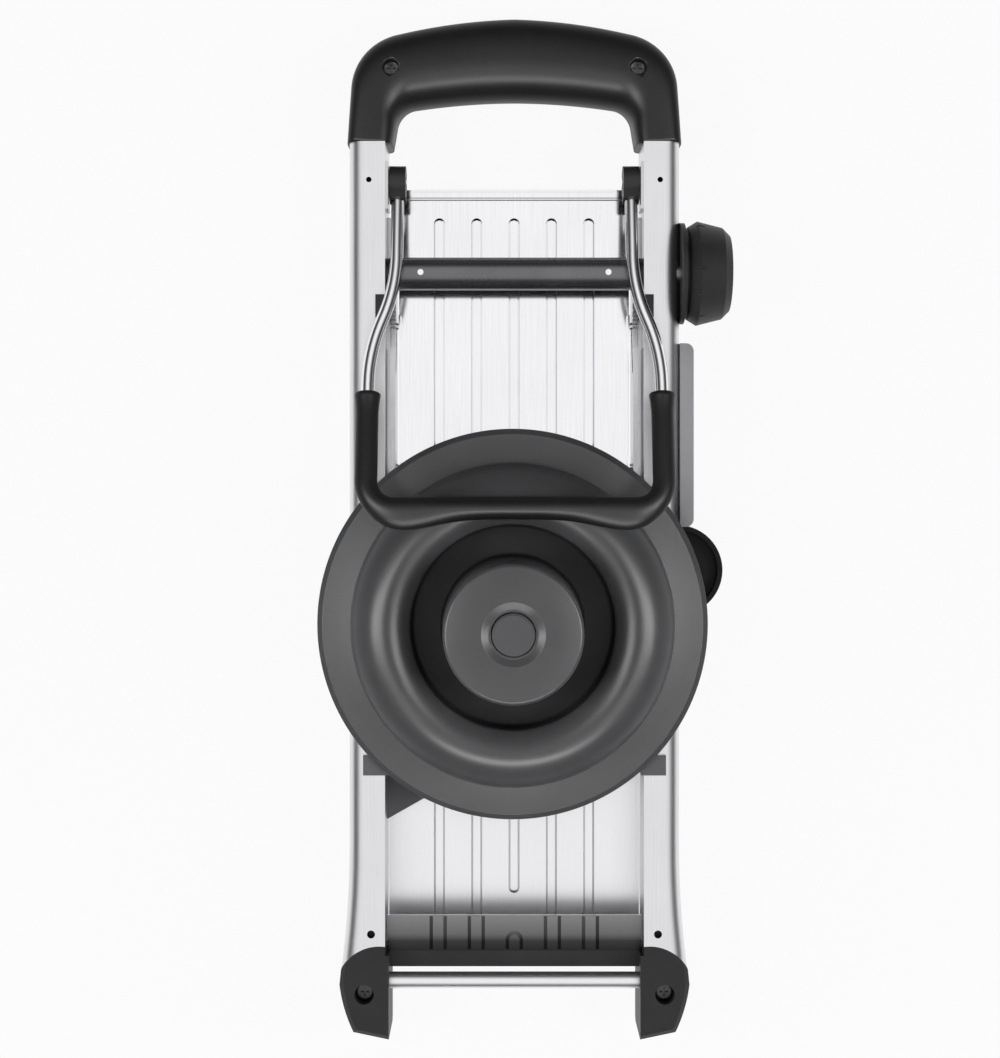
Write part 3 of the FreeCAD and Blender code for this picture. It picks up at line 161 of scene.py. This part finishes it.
def bump(tree, bsdf, height, strength, distance):
    node = tree.nodes.new("ShaderNodeBump")
    node.inputs["Strength"].default_value = strength
    node.inputs["Distance"].default_value = distance
    tree.links.new(height, node.inputs["Height"])
    tree.links.new(node.outputs["Normal"], bsdf.inputs["Normal"])


# Steel

STEEL_TINT = (0.985, 0.982, 1.0)
ALONG_X, ALONG_Y = 0, 1
GRAIN_SCALE, GRAIN_STRETCH = 5200.0, 0.008
GRAIN_DEPTH = 0.04 * MM
STEEL_CLOUDS, STEEL_CLOUD_SHARE = 38.0, 0.35
STEEL_STOPS = (0.40, 0.90)


def tint(grey, colour):
    return tuple(grey * part for part in colour)


def brushed_metal(name, dark, light, rough, along=None, relief=0.02, painted_shade=None):
    """Metal with a fine lengthwise grain; along is the grain's axis number, or None for an even grain."""
    tree, bsdf = shader(name)
    stretch = list(EVEN)
    if along is not None:
        stretch[along] = GRAIN_STRETCH
    grain = noise(tree, place_coords(tree, stretch), GRAIN_SCALE)
    clouds = noise(tree, place_coords(tree, EVEN), STEEL_CLOUDS, detail=2.0)
    both = combine(tree, "MULTIPLY_ADD", clouds, STEEL_CLOUD_SHARE, grain)
    greys = (tint(dark, STEEL_TINT), tint(light, STEEL_TINT))
    colour = ramp(tree, both, list(zip(STEEL_STOPS, greys)))
    # An optional painted shade darkens the colour after the grain
    if painted_shade is not None:
        colour = painted_shade(tree, colour)
    tree.links.new(colour, bsdf.inputs["Base Color"])
    tree.links.new(spread(tree, grain, *rough), bsdf.inputs["Roughness"])
    bsdf.inputs["Metallic"].default_value = 1.0
    bump(tree, bsdf, grain, relief, GRAIN_DEPTH)


# Painted shade on the return flange: its span along y, the height above which it starts, the least upward
# tilt of the faces it takes, and its greys
PAINTED_SHADE_BEND, PAINTED_SHADE_EDGE = -171.6 * MM, -157.6 * MM
PAINTED_SHADE_ABOVE = 17.5 * MM
PAINTED_SHADE_UPWARD = 0.2
PAINTED_SHADE_STOPS = ((0.0, 0.03), (1.0, 0.26), (0.25, 0.05), (0.45, 0.16))


def flange_painted_shade(tree, colour):
    """Painted shade: darkens the colour of the upper face of the landing plate's return flange, more towards
    its bend.
    """
    coords = tree.nodes.new("ShaderNodeTexCoord")
    place = split(tree, coords.outputs["Object"])
    # dark is the grey of the painted shade, darker towards the bend
    dark = ramp(tree, share_between(tree, place["Y"], PAINTED_SHADE_BEND, PAINTED_SHADE_EDGE), PAINTED_SHADE_STOPS)
    above = combine(tree, "GREATER_THAN", place["Z"], PAINTED_SHADE_ABOVE)
    surface = tree.nodes.new("ShaderNodeNewGeometry")
    facing = split(tree, surface.outputs["Normal"])
    upward = combine(tree, "GREATER_THAN", facing["Z"], PAINTED_SHADE_UPWARD)
    return mix_colour(tree, combine(tree, "MULTIPLY", above, upward), colour, dark)


brushed_metal("brushed_rail", 0.78, 0.90, (0.32, 0.42), ALONG_Y, relief=0.04)
brushed_metal("sheet_steel", 0.85, 0.97, (0.07, 0.13), ALONG_Y)
brushed_metal("bright_steel", 0.86, 0.95, (0.05, 0.10), relief=0.01)
brushed_metal("satin_tube", 0.92, 0.98, (0.34, 0.42), ALONG_X)
# The screws' steel is near-black: painted shade of the deep recesses they sit in
brushed_metal("screw_steel", 0.05, 0.10, (0.25, 0.40), relief=0.03)
brushed_metal("blade_steel", 0.66, 0.82, (0.12, 0.24), ALONG_X, relief=0.03)
brushed_metal("slide_steel", 0.52, 0.70, (0.18, 0.32), ALONG_Y, relief=0.03)
# Landing plate steel, with painted shade on the upper face of its return flange
brushed_metal("flange_steel_painted_shade", 0.92, 0.98, (0.32, 0.40), ALONG_Y, painted_shade=flange_painted_shade)


# Plastic and rubber

PLASTIC_TINT = (0.985, 0.985, 1.03)
PLASTIC_CLOUDS = 60.0
PLASTIC_STOPS = (0.30, 0.72)
PEBBLE_DEPTH = 0.06 * MM


def moulded(name, dark, light, rough, pebble=2600.0, relief=0.08, specular=0.25, metal=0.0):
    """Moulded plastic or rubber with a fine pebbled skin and slight colour clouds."""
    tree, bsdf = shader(name)
    vector = place_coords(tree, EVEN)
    skin = noise(tree, vector, pebble, roughness=0.6)
    clouds = noise(tree, vector, PLASTIC_CLOUDS)
    greys = (tint(dark, PLASTIC_TINT), tint(light, PLASTIC_TINT))
    colour = ramp(tree, clouds, list(zip(PLASTIC_STOPS, greys)))
    tree.links.new(colour, bsdf.inputs["Base Color"])
    tree.links.new(spread(tree, skin, *rough), bsdf.inputs["Roughness"])
    bsdf.inputs["Metallic"].default_value = metal
    bsdf.inputs["Specular IOR Level"].default_value = specular
    bump(tree, bsdf, skin, relief, PEBBLE_DEPTH)


moulded("black_grip", 0.013, 0.017, (0.34, 0.42), pebble=1900.0, relief=0.10, specular=0.12)
moulded("black_plastic", 0.028, 0.035, (0.42, 0.54))
moulded("dark_plastic", 0.026, 0.034, (0.34, 0.46), specular=0.35)
moulded("grey_plastic", 0.38, 0.42, (0.42, 0.55))
moulded("holder_plastic", 0.074, 0.084, (0.28, 0.34), relief=0.10, specular=0.12)
moulded("button_plastic", 0.130, 0.142, (0.28, 0.34), relief=0.10, specular=0.12)
moulded("clip_plastic", 0.135, 0.155, (0.30, 0.40))
moulded("tube_lacquer", 0.16, 0.19, (0.22, 0.30), pebble=1800.0, relief=0.03, specular=0.5, metal=0.85)


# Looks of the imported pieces: a piece's own look, or else that of its slot

OWN_LOOK = {
    # The landing plate takes the steel with the flange's painted shade
    "landing_plate": "flange_steel_painted_shade",
    "adjust_tube": "tube_lacquer",
    "front_tube": "satin_tube",
    "plunger_button": "button_plastic",
    "left_holder_clip": "clip_plastic",
    "right_holder_clip": "clip_plastic",
    "blade_bridge": "clip_plastic",
}


def dress(obj, look):
    obj.data.materials.clear()
    obj.data.materials.append(materials[look])


for name, obj in nodes.items():
    dress(obj, OWN_LOOK.get(name, SLOTS[name]))


# Helpers for pieces built in mesh code

def mesh_piece(name, slot, body, bm, smooth=True, look=None):
    bmesh.ops.recalc_face_normals(bm, faces=bm.faces)
    data = bpy.data.meshes.new(name)
    bm.to_mesh(data)
    bm.free()
    obj = bpy.data.objects.new(name, data)
    bpy.context.scene.collection.objects.link(obj)
    for polygon in data.polygons:
        polygon.use_smooth = smooth
    dress(obj, look or slot)
    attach(obj, body)
    return obj


def bridge_rings(bm, rings):
    """Joins each ring of points to the next one with four-sided faces."""
    for first, second in zip(rings, rings[1:]):
        count = len(first)
        for k in range(count):
            n = (k + 1) % count
            bm.faces.new((first[k], first[n], second[n], second[k]))


def middle_vert(bm, x, y, z):
    """Point given in millimetres from the slicer's middle line."""
    return bm.verts.new((x * MM + MIDDLE_X, y * MM, z * MM))


def round_corner(before, corner, after, radius, count):
    """Points of the arc that rounds a corner between two straight runs."""
    a = (Vector(before) - Vector(corner)).normalized()
    b = (Vector(after) - Vector(corner)).normalized()
    half = a.angle(b) / 2
    middle = Vector(corner) + (a + b).normalized() * (radius / math.sin(half))
    start = Vector(corner) + a * (radius / math.tan(half)) - middle
    finish = Vector(corner) + b * (radius / math.tan(half)) - middle
    swing = start.angle(finish)
    points = []
    for i in range(count + 1):
        t = i / count
        mixed = (start * math.sin((1 - t) * swing) + finish * math.sin(t * swing)) / math.sin(swing)
        points.append(middle + mixed)
    return points


# Leg sleeve: soft rubber sleeve with a flared end on each arm and two lobes on its bar

HINGE = Vector((MIDDLE_X, 138.6 * MM, 21.3 * MM))
TILT = math.radians(15.6)
LEG_DOWN = Vector((0.0, -math.cos(TILT), math.sin(TILT)))
LEG_NORMAL = Vector((0.0, math.sin(TILT), math.cos(TILT)))
LEG_LENGTH = 135.9
LEG_HALF = 57.4
LEG_CORNER = 11.0
LEG_STRAIGHT = LEG_LENGTH - LEG_CORNER
SLEEVE_START = 90.4
SLEEVE_R = 4.4
SLEEVE_FLARE, SLEEVE_FLARE_LENGTH = 0.75, 9.0
LOBE_X = 43.0
LOBE_INSIDE, LOBE_OUTSIDE = 17.0, 11.0
LOBE_DROP = 4.3
SLEEVE_SIDES = 32
SLEEVE_ARM_STEPS, SLEEVE_BEND_STEPS, SLEEVE_BAR_STEPS = 25, 16, 48
# Rounded end of the sleeve: share of its width, and how far out
SLEEVE_END = ((0.93, 0.45), (0.80, 0.65), (0.62, 0.60))


def leg_point(x, down, lift):
    return HINGE + Vector((x * MM, 0.0, 0.0)) + LEG_DOWN * (down * MM) + LEG_NORMAL * (lift * MM)


def sleeve_stations():
    """Middle line of half the sleeve from the arm's end to the middle: x, down, and the direction of both."""
    stations = []
    for i in range(SLEEVE_ARM_STEPS):
        down = SLEEVE_START + (LEG_STRAIGHT - SLEEVE_START) * i / SLEEVE_ARM_STEPS
        stations.append((LEG_HALF, down, 0.0, 1.0))
    for i in range(SLEEVE_BEND_STEPS + 1):
        turn = math.radians(90 * i / SLEEVE_BEND_STEPS)
        x = LEG_HALF - LEG_CORNER * (1 - math.cos(turn))
        down = LEG_STRAIGHT + LEG_CORNER * math.sin(turn)
        stations.append((x, down, -math.sin(turn), math.cos(turn)))
    for i in range(1, SLEEVE_BAR_STEPS + 1):
        x = (LEG_HALF - LEG_CORNER) * (1 - i / SLEEVE_BAR_STEPS)
        stations.append((x, LEG_LENGTH, -1.0, 0.0))
    return stations


def lobe(x):
    """Height of the two lobes along the bar, from 0 to 1."""
    away = abs(x) - LOBE_X
    width = LOBE_INSIDE if away < 0 else LOBE_OUTSIDE
    return math.exp(-((away / width) ** 2))


def sleeve_ring(bm, x, down, way_x, way_down):
    near_end = max(0.0, 1.0 - (down - SLEEVE_START) / SLEEVE_FLARE_LENGTH)
    radius = SLEEVE_R + SLEEVE_FLARE * near_end * near_end
    drop = LOBE_DROP * lobe(x) * max(0.0, (down - LEG_STRAIGHT) / LEG_CORNER)
    ring = []
    for k in range(SLEEVE_SIDES):
        angle = 2 * math.pi * k / SLEEVE_SIDES
        across = radius * math.cos(angle)
        out_x, out_down = way_down * across, -way_x * across
        if out_down > 0:
            out_down += drop * math.cos(angle) ** 2
        ring.append(bm.verts.new(leg_point(x + out_x, down + out_down, radius * math.sin(angle))))
    return ring


def sleeve_mesh():
    half = sleeve_stations()
    route = half + [(-x, down, way_x, -way_down) for x, down, way_x, way_down in reversed(half[:-1])]
    bm = bmesh.new()
    rings = [sleeve_ring(bm, *station) for station in route]
    bridge_rings(bm, rings)
    for ring in (rings[0], rings[-1]):
        middle = sum((v.co for v in ring), Vector()) / SLEEVE_SIDES
        end = [ring]
        for scale, out in SLEEVE_END:
            shift = LEG_DOWN * (out * MM)
            end.append([bm.verts.new(middle + (v.co - middle) * scale - shift) for v in ring])
        bridge_rings(bm, end)
        bm.faces.new(end[-1])
    return bm


sleeve = mesh_piece("soft_leg_sleeve", "black_grip", "leg", sleeve_mesh())
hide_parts("leg_sleeve")


# Handle: one rounded arch over both shells, boxy where it meets the rails and rounder along the bar

RAIL_HEIGHT = 28.0
RAIL_TOP = 154.0
HANDLE_HALF = 67.5
HANDLE_LEAN = 2.6
HANDLE_PEAK = 205.5
HANDLE_DROP = 9.4
HANDLE_CORNER = 24.0
GAP_HALF = 49.2
GAP_LEAN = 2.7
GAP_PEAK = 172.5
GAP_DROP = 4.0
GAP_CORNER = 9.0
HANDLE_SCREWS = ((-49.6, 184.0), (49.6, 184.0))
SCREW_RECESS_R = 3.1
SCREW_RECESS_FLOOR = 20.8
SCREW_RECESS_SIDES = 40
CUT_PAST = 5.0
HANDLE_SIDES = 64
HANDLE_ARM_STEPS, HANDLE_BEND_STEPS, HANDLE_BAR_STEPS = 16, 20, 40
BOXY_POWER, ROUND_POWER = 4.6, 2.5


def arch_side(half_low, half_high, peak, drop, corner):
    """Half of one edge of the handle in plan, from the right rail to the middle of the bar."""
    bow = (half_high ** 2 + drop ** 2) / (2 * drop)

    def bar(x):
        return peak - bow + math.sqrt(bow ** 2 - x ** 2)

    low = (half_low, RAIL_TOP)
    top = (half_high, peak - drop)
    reach = half_high - 2 * corner
    bend = round_corner(low, top, (reach, bar(reach)), corner, HANDLE_BEND_STEPS)
    arm = [Vector(low).lerp(bend[0], i / HANDLE_ARM_STEPS) for i in range(HANDLE_ARM_STEPS)]
    last = bend[-1]
    lift = last.y - bar(last.x)
    run = []
    for i in range(1, HANDLE_BAR_STEPS + 1):
        left = 1 - i / HANDLE_BAR_STEPS
        run.append(Vector((last.x * left, bar(last.x * left) + lift * left)))
    return arm + bend + run


def handle_mesh():
    outer = arch_side(HANDLE_HALF, HANDLE_HALF - HANDLE_LEAN, HANDLE_PEAK, HANDLE_DROP, HANDLE_CORNER)
    inner = arch_side(GAP_HALF, GAP_HALF - GAP_LEAN, GAP_PEAK, GAP_DROP, GAP_CORNER)
    pairs = list(zip(inner, outer))
    flip = Vector((-1.0, 1.0))
    pairs += [(a * flip, b * flip) for a, b in reversed(pairs[:-1])]
    turns = [2 * math.pi * (k + 0.5) / HANDLE_SIDES for k in range(HANDLE_SIDES)]
    middle_z = RAIL_HEIGHT / 2
    bm = bmesh.new()
    rings = []
    for index, (a, b) in enumerate(pairs):
        from_end = min(index, len(pairs) - 1 - index)
        away = min(1.0, from_end / (HANDLE_ARM_STEPS + HANDLE_BEND_STEPS))
        blend = away ** 2 * (3 - 2 * away)
        power = 2 / (BOXY_POWER + (ROUND_POWER - BOXY_POWER) * blend)
        ring = []
        for turn in turns:
            c, s = math.cos(turn), math.sin(turn)
            wide = math.copysign(abs(c) ** power, c)
            tall = math.copysign(abs(s) ** power, s)
            spot = (a + b) / 2 + (b - a) / 2 * wide
            ring.append(middle_vert(bm, spot.x, spot.y, middle_z + middle_z * tall))
        rings.append(ring)
    bridge_rings(bm, rings)
    bm.faces.new(rings[0])
    bm.faces.new(rings[-1])
    return bm


def round_cutter(x, y, low, high, radius):
    bm = bmesh.new()
    bmesh.ops.create_cone(
        bm, cap_ends=True, segments=SCREW_RECESS_SIDES,
        radius1=radius * MM, radius2=radius * MM, depth=(high - low) * MM,
    )
    data = bpy.data.meshes.new("cutter")
    bm.to_mesh(data)
    bm.free()
    obj = bpy.data.objects.new("cutter", data)
    obj.location = (x * MM + MIDDLE_X, y * MM, (low + high) / 2 * MM)
    bpy.context.scene.collection.objects.link(obj)
    return obj


def carve(obj, cutters):
    """Takes cutter meshes out of a piece and keeps the result as its own mesh."""
    for cutter in cutters:
        tool = obj.modifiers.new("carve", "BOOLEAN")
        tool.object = cutter
        tool.solver = "EXACT"
    graph = bpy.context.evaluated_depsgraph_get()
    carved = bpy.data.meshes.new_from_object(obj.evaluated_get(graph))
    obj.modifiers.clear()
    old = obj.data
    obj.data = carved
    bpy.data.meshes.remove(old)
    for cutter in cutters:
        bpy.data.objects.remove(cutter)


grip = mesh_piece("rounded_handle", "black_grip", "frame", handle_mesh())
carve(grip, [
    round_cutter(x, y, SCREW_RECESS_FLOOR, RAIL_HEIGHT + CUT_PAST, SCREW_RECESS_R) for x, y in HANDLE_SCREWS
])
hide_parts("handle_top_shell", "handle_bottom_shell")


# Thin pressed line along the handle end of the runway

LIP_HALF = 46.9
LIP_FOOT, LIP_TOP = (133.6, 134.9), (134.0, 134.5)
LIP_BASE, LIP_RISE = 5.8, 0.5


def raised_strip(bm, foot, top, base, rise):
    """Low block with sloping sides between two outlines."""
    low = [middle_vert(bm, x, y, base) for x, y in foot]
    high = [middle_vert(bm, x, y, base + rise) for x, y in top]
    bridge_rings(bm, [low, high])
    bm.faces.new(high)
    bm.faces.new(list(reversed(low)))


def lip_outline(ys):
    return [(-LIP_HALF, ys[0]), (LIP_HALF, ys[0]), (LIP_HALF, ys[1]), (-LIP_HALF, ys[1])]


lip = bmesh.new()
raised_strip(lip, lip_outline(LIP_FOOT), lip_outline(LIP_TOP), LIP_BASE, LIP_RISE)
mesh_piece("runway_lip_line", "sheet_steel", "runway", lip, smooth=False)


# Pressed beads on the return flange of the landing plate, with a short arched one in the middle

FLANGE_TOP = 19.8
FLANGE_NEAR, FLANGE_FAR, ARCH_NEAR = -158.0, -171.4, -164.1
BEAD_STEP = 15.4
BEAD_HALF, BEAD_FLAT, BEAD_RISE = 3.5, 2.1, 0.7
ARCH_STEPS = 12


def bead_outline(x, half):
    return [(x + half, FLANGE_NEAR), (x - half, FLANGE_NEAR), (x - half, FLANGE_FAR), (x + half, FLANGE_FAR)]


def arch_outline(half):
    """Outline of the middle bead, whose near end is round."""
    points = []
    for i in range(ARCH_STEPS + 1):
        turn = math.pi * i / ARCH_STEPS
        points.append((half * math.cos(turn), ARCH_NEAR - BEAD_HALF + half * math.sin(turn)))
    return points + [(-half, FLANGE_FAR), (half, FLANGE_FAR)]


beads = bmesh.new()
for step in (-2, -1, 1, 2):
    foot, top = (bead_outline(step * BEAD_STEP, half) for half in (BEAD_HALF, BEAD_FLAT))
    raised_strip(beads, foot, top, FLANGE_TOP, BEAD_RISE)
raised_strip(beads, arch_outline(BEAD_HALF), arch_outline(BEAD_FLAT), FLANGE_TOP, BEAD_RISE)
# The beads take the flange's steel with its painted shade
mesh_piece("flange_beads", "sheet_steel", "frame", beads, smooth=False, look="flange_steel_painted_shade")


# Food holder: one turned shell with soft corners, over the CAD shell of the same section

HOLDER = Vector((MIDDLE_X - 0.8 * MM, -39.0 * MM, 29.5 * MM))
HOLDER_SIDES = 160
SOFT_STEPS = 6
SOFT_SHARE = 0.48
SHARP_R = 0.05
FLAT_HALF = math.radians(88)
DOME_R, DOME_Z, DOME_BOW = 49.7, 6.4, 14.5


def dome_point(degrees):
    turn = math.radians(degrees)
    return DOME_R + DOME_BOW * math.cos(turn), DOME_Z + DOME_BOW * math.sin(turn), 0.0


# Each point of a section is its radius, its height and how far its corner is rounded
BRIM = ((77.85, 0.0, 0.3), (77.85, 1.3, 0.5), (75.7, 2.6, 0.4), (63.9, 2.6, 0.3))
DOME = tuple(dome_point(degrees) for degrees in range(-12, 129, 4))
TRENCH = ((40.3, 17.4, 0.8), (40.3, 6.0, 1.6), (27.5, 6.0, 1.6))
KNOB = ((26.3, 50.4, 1.4), (12.0, 50.4, 1.5), (9.4, 49.5, 0.5), (8.3, 49.5, 0.3), (8.3, 48.0, 0.0))
BORE = ((3.8, 48.0, 0.0), (3.8, 45.4, 0.0))
INSIDE = ((23.9, 45.4, 0.0), (25.0, 3.6, 0.0), (40.3, 3.6, 0.0))
CUP_EDGE = ((40.3, -6.0, 0.3), (42.7, -6.0, 0.3))
UNDER_DOME = ((42.7, 16.2, 1.0), (49.7, 18.5, 6.0), (55.0, 16.0, 4.0), (58.6, 9.0, 4.0), (60.0, 0.0, 0.5))
HOLDER_SECTION = BRIM + DOME + TRENCH + KNOB + BORE + INSIDE + CUP_EDGE + UNDER_DOME

# Black shell laid in the ring-shaped trench between the dome and the knob, and round the knob's lower half,
# which makes them dark
WELL_FACE = ((40.35, 16.4, 0.0), (40.0, 16.4, 0.2), (40.0, 6.3, 1.5), (27.8, 6.3, 1.5), (27.1, 30.0, 0.0))
WELL_BACK = ((26.8, 30.0, 0.0), (27.4, 5.9, 0.0), (40.35, 5.9, 0.0))
WELL_SECTION = WELL_FACE + WELL_BACK


def soft_section(section):
    """Closed section with each corner rounded by its own radius."""
    points = []
    count = len(section)
    for index, (r, z, radius) in enumerate(section):
        here = Vector((r, z))
        before = Vector(section[index - 1][:2])
        after = Vector(section[(index + 1) % count][:2])
        a, b = before - here, after - here
        half = a.angle(b) / 2
        radius = min(radius, SOFT_SHARE * min(a.length, b.length) * math.tan(half))
        if radius < SHARP_R or half > FLAT_HALF:
            points.append(here)
        else:
            points += round_corner(before, here, after, radius, SOFT_STEPS)
    return points


def turned(section):
    """Section turned round the holder's axis."""
    bm = bmesh.new()
    profile = soft_section(section)
    up = Vector((0.0, 0.0, 1.0))
    rings = []
    for k in range(HOLDER_SIDES):
        turn = 2 * math.pi * k / HOLDER_SIDES
        across = Vector((math.cos(turn), math.sin(turn), 0.0))
        rings.append([bm.verts.new(HOLDER + across * (p.x * MM) + up * (p.y * MM)) for p in profile])
    bridge_rings(bm, rings + rings[:1])
    return bm


hat = mesh_piece("soft_holder_hat", "holder_plastic", "holder", turned(HOLDER_SECTION))
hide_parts("holder_hat")
mesh_piece("holder_well", "black_plastic", "holder", turned(WELL_SECTION))


# Plunger spring: a coil wound between the ends of the CAD spring; the real one shortens towards the top of
# the holder's knob as the pusher goes up

SPRING_R, SPRING_WIRE_R, SPRING_TURNS = 7.4 * MM, 0.6 * MM, 9
SPRING_STEPS, SPRING_SIDES = 32, 12


def coil_mesh(low, high):
    """Round wire wound round the holder's axis between two heights."""
    bm = bmesh.new()
    rings = []
    steps = SPRING_TURNS * SPRING_STEPS
    for i in range(steps + 1):
        turn = 2 * math.pi * i / SPRING_STEPS
        out = Vector((math.cos(turn), math.sin(turn), 0.0))
        middle = Vector((HOLDER.x, HOLDER.y, low + (high - low) * i / steps)) + out * SPRING_R
        ring = []
        for k in range(SPRING_SIDES):
            angle = 2 * math.pi * k / SPRING_SIDES
            around = out * math.cos(angle) + Vector((0.0, 0.0, math.sin(angle)))
            ring.append(bm.verts.new(middle + around * SPRING_WIRE_R))
        rings.append(ring)
    bridge_rings(bm, rings)
    bm.faces.new(rings[0])
    bm.faces.new(rings[-1])
    return bm


spring_low, spring_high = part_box("plunger_spring")
coil = coil_mesh(spring_low[2] + SPRING_WIRE_R, spring_high[2] - SPRING_WIRE_R)
spring = mesh_piece("wound_spring", SLOTS["plunger_spring"], "holder", coil)
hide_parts("plunger_spring")
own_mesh(spring)


# Floor

FLOOR_HALF = 2.5
FLOOR_Z = -0.4 * MM
FLOOR_GLOW_SHARE = 0.92


def floor():
    """White floor that glows for the camera and in mirrored light, and takes soft shadows."""
    bm = bmesh.new()
    corners = ((-1, -1), (1, -1), (1, 1), (-1, 1))
    bm.faces.new([bm.verts.new((x * FLOOR_HALF, y * FLOOR_HALF, FLOOR_Z)) for x, y in corners])
    data = bpy.data.meshes.new("floor")
    bm.to_mesh(data)
    bm.free()
    obj = bpy.data.objects.new("floor", data)
    bpy.context.scene.collection.objects.link(obj)
    tree, bsdf = shader("floor_white")
    bsdf.inputs["Base Color"].default_value = (0.86, 0.86, 0.87, 1.0)
    bsdf.inputs["Roughness"].default_value = 0.9
    bsdf.inputs["Specular IOR Level"].default_value = 0.0
    glow = tree.nodes.new("ShaderNodeEmission")
    glow.inputs["Strength"].default_value = 1.0
    path = tree.nodes.new("ShaderNodeLightPath")
    either = combine(tree, "MAXIMUM", path.outputs["Is Camera Ray"], path.outputs["Is Glossy Ray"])
    mix = tree.nodes.new("ShaderNodeMixShader")
    tree.links.new(combine(tree, "MULTIPLY", either, FLOOR_GLOW_SHARE), mix.inputs["Fac"])
    tree.links.new(bsdf.outputs[0], mix.inputs[1])
    tree.links.new(glow.outputs[0], mix.inputs[2])
    tree.links.new(mix.outputs[0], tree.nodes["Material Output"].inputs["Surface"])
    dress(obj, "floor_white")


# Sky: brightness by height, for mirrored and for soft light

MIRRORED_SKY = (
    (0.0, 0.30), (1.0, 0.98), (0.12, 0.24), (0.26, 0.06), (0.50, 0.06), (0.68, 0.30), (0.80, 0.95),
)
SOFT_SKY = ((0.0, 0.06), (1.0, 0.18), (0.5, 0.08))
WHITE = (1.0, 1.0, 1.0, 1.0)


def sky():
    """White for the camera; a soft studio for the rest: bright overhead, dimmer walls, pale low down."""
    world = bpy.data.worlds.new("studio")
    bpy.context.scene.world = world
    world.use_nodes = True
    tree = world.node_tree
    background = tree.nodes["Background"]
    coords = tree.nodes.new("ShaderNodeTexCoord")
    height = split(tree, coords.outputs["Generated"])["Z"]
    path = tree.nodes.new("ShaderNodeLightPath")
    mirrored = ramp(tree, height, MIRRORED_SKY)
    soft = ramp(tree, height, SOFT_SKY)
    studio = mix_colour(tree, path.outputs["Is Glossy Ray"], soft, mirrored)
    seen = combine(tree, "MAXIMUM", path.outputs["Is Camera Ray"], path.outputs["Is Transmission Ray"])
    tree.links.new(mix_colour(tree, seen, studio, WHITE), background.inputs["Color"])
    background.inputs["Strength"].default_value = 1.0


# Lamps

SIDE_BOX, END_BOX = (0.7, 1.6), (1.4, 0.7)
SIDE_GLOW, FRONT_GLOW, BACK_GLOW = 5.4, 3.4, 0.8
SIDE_SHEEN, FRONT_SHEEN = (0.35, 1.0), (1.0, 0.35)
SHEEN_GLOW = 42.0


def softbox(name, spot, size, glow, sheen_on=None):
    """Area lamp aimed at the object; glow is the brightness of its face, where 1 is white.

    A plain lamp lights without being mirrored. With sheen_on it is only mirrored, and only in those pieces.
    """
    data = bpy.data.lights.new(name, "AREA")
    data.shape = "RECTANGLE"
    data.size, data.size_y = size
    data.energy = glow * math.pi * size[0] * size[1]
    obj = bpy.data.objects.new(name, data)
    obj.location = spot
    obj.rotation_euler = (-Vector(spot)).to_track_quat("-Z", "Y").to_euler()
    bpy.context.scene.collection.objects.link(obj)
    if sheen_on is None:
        obj.visible_glossy = False
    else:
        obj.visible_diffuse = False
        obj.light_linking.receiver_collection = sheen_on


floor()
sky()
softbox("box_left", (-1.60, -0.15, 0.85), SIDE_BOX, SIDE_GLOW)
softbox("box_right", (1.60, -0.15, 0.85), SIDE_BOX, SIDE_GLOW)
softbox("box_front", (0.0, -1.70, 0.90), END_BOX, FRONT_GLOW)
softbox("box_back", (0.0, 1.70, 0.90), END_BOX, BACK_GLOW)

shiny = bpy.data.collections.new("shiny_pieces")
for piece in (hat, grip, sleeve):
    shiny.objects.link(piece)
softbox("sheen_left", (-0.85, -0.10, 1.50), SIDE_SHEEN, SHEEN_GLOW, shiny)
softbox("sheen_right", (0.85, -0.10, 1.50), SIDE_SHEEN, SHEEN_GLOW, shiny)
softbox("sheen_front", (0.0, -0.95, 1.50), FRONT_SHEEN, SHEEN_GLOW, shiny)


# Camera: looks straight down, with the photo's own framing

IMAGE_HEIGHT, IMAGE_SHIFT = 1058.0, -49.0
EYE_HEIGHT = 700.0
VIEW_HEIGHT = 423.2
SENSOR = 24.0
CAMERA_SPOT = (-9.6 * MM, 18.4 * MM, (RAIL_HEIGHT + EYE_HEIGHT) * MM)

camera_data = bpy.data.cameras.new("photo_camera")
camera_data.sensor_fit = "VERTICAL"
camera_data.sensor_height = SENSOR
camera_data.lens = SENSOR * EYE_HEIGHT / VIEW_HEIGHT
camera_data.shift_y = IMAGE_SHIFT / IMAGE_HEIGHT
camera = bpy.data.objects.new("photo_camera", camera_data)
camera.location = CAMERA_SPOT
bpy.context.scene.collection.objects.link(camera)
bpy.context.scene.camera = camera
bpy.context.scene.view_settings.view_transform = "Standard"

bpy.context.view_layer.update()
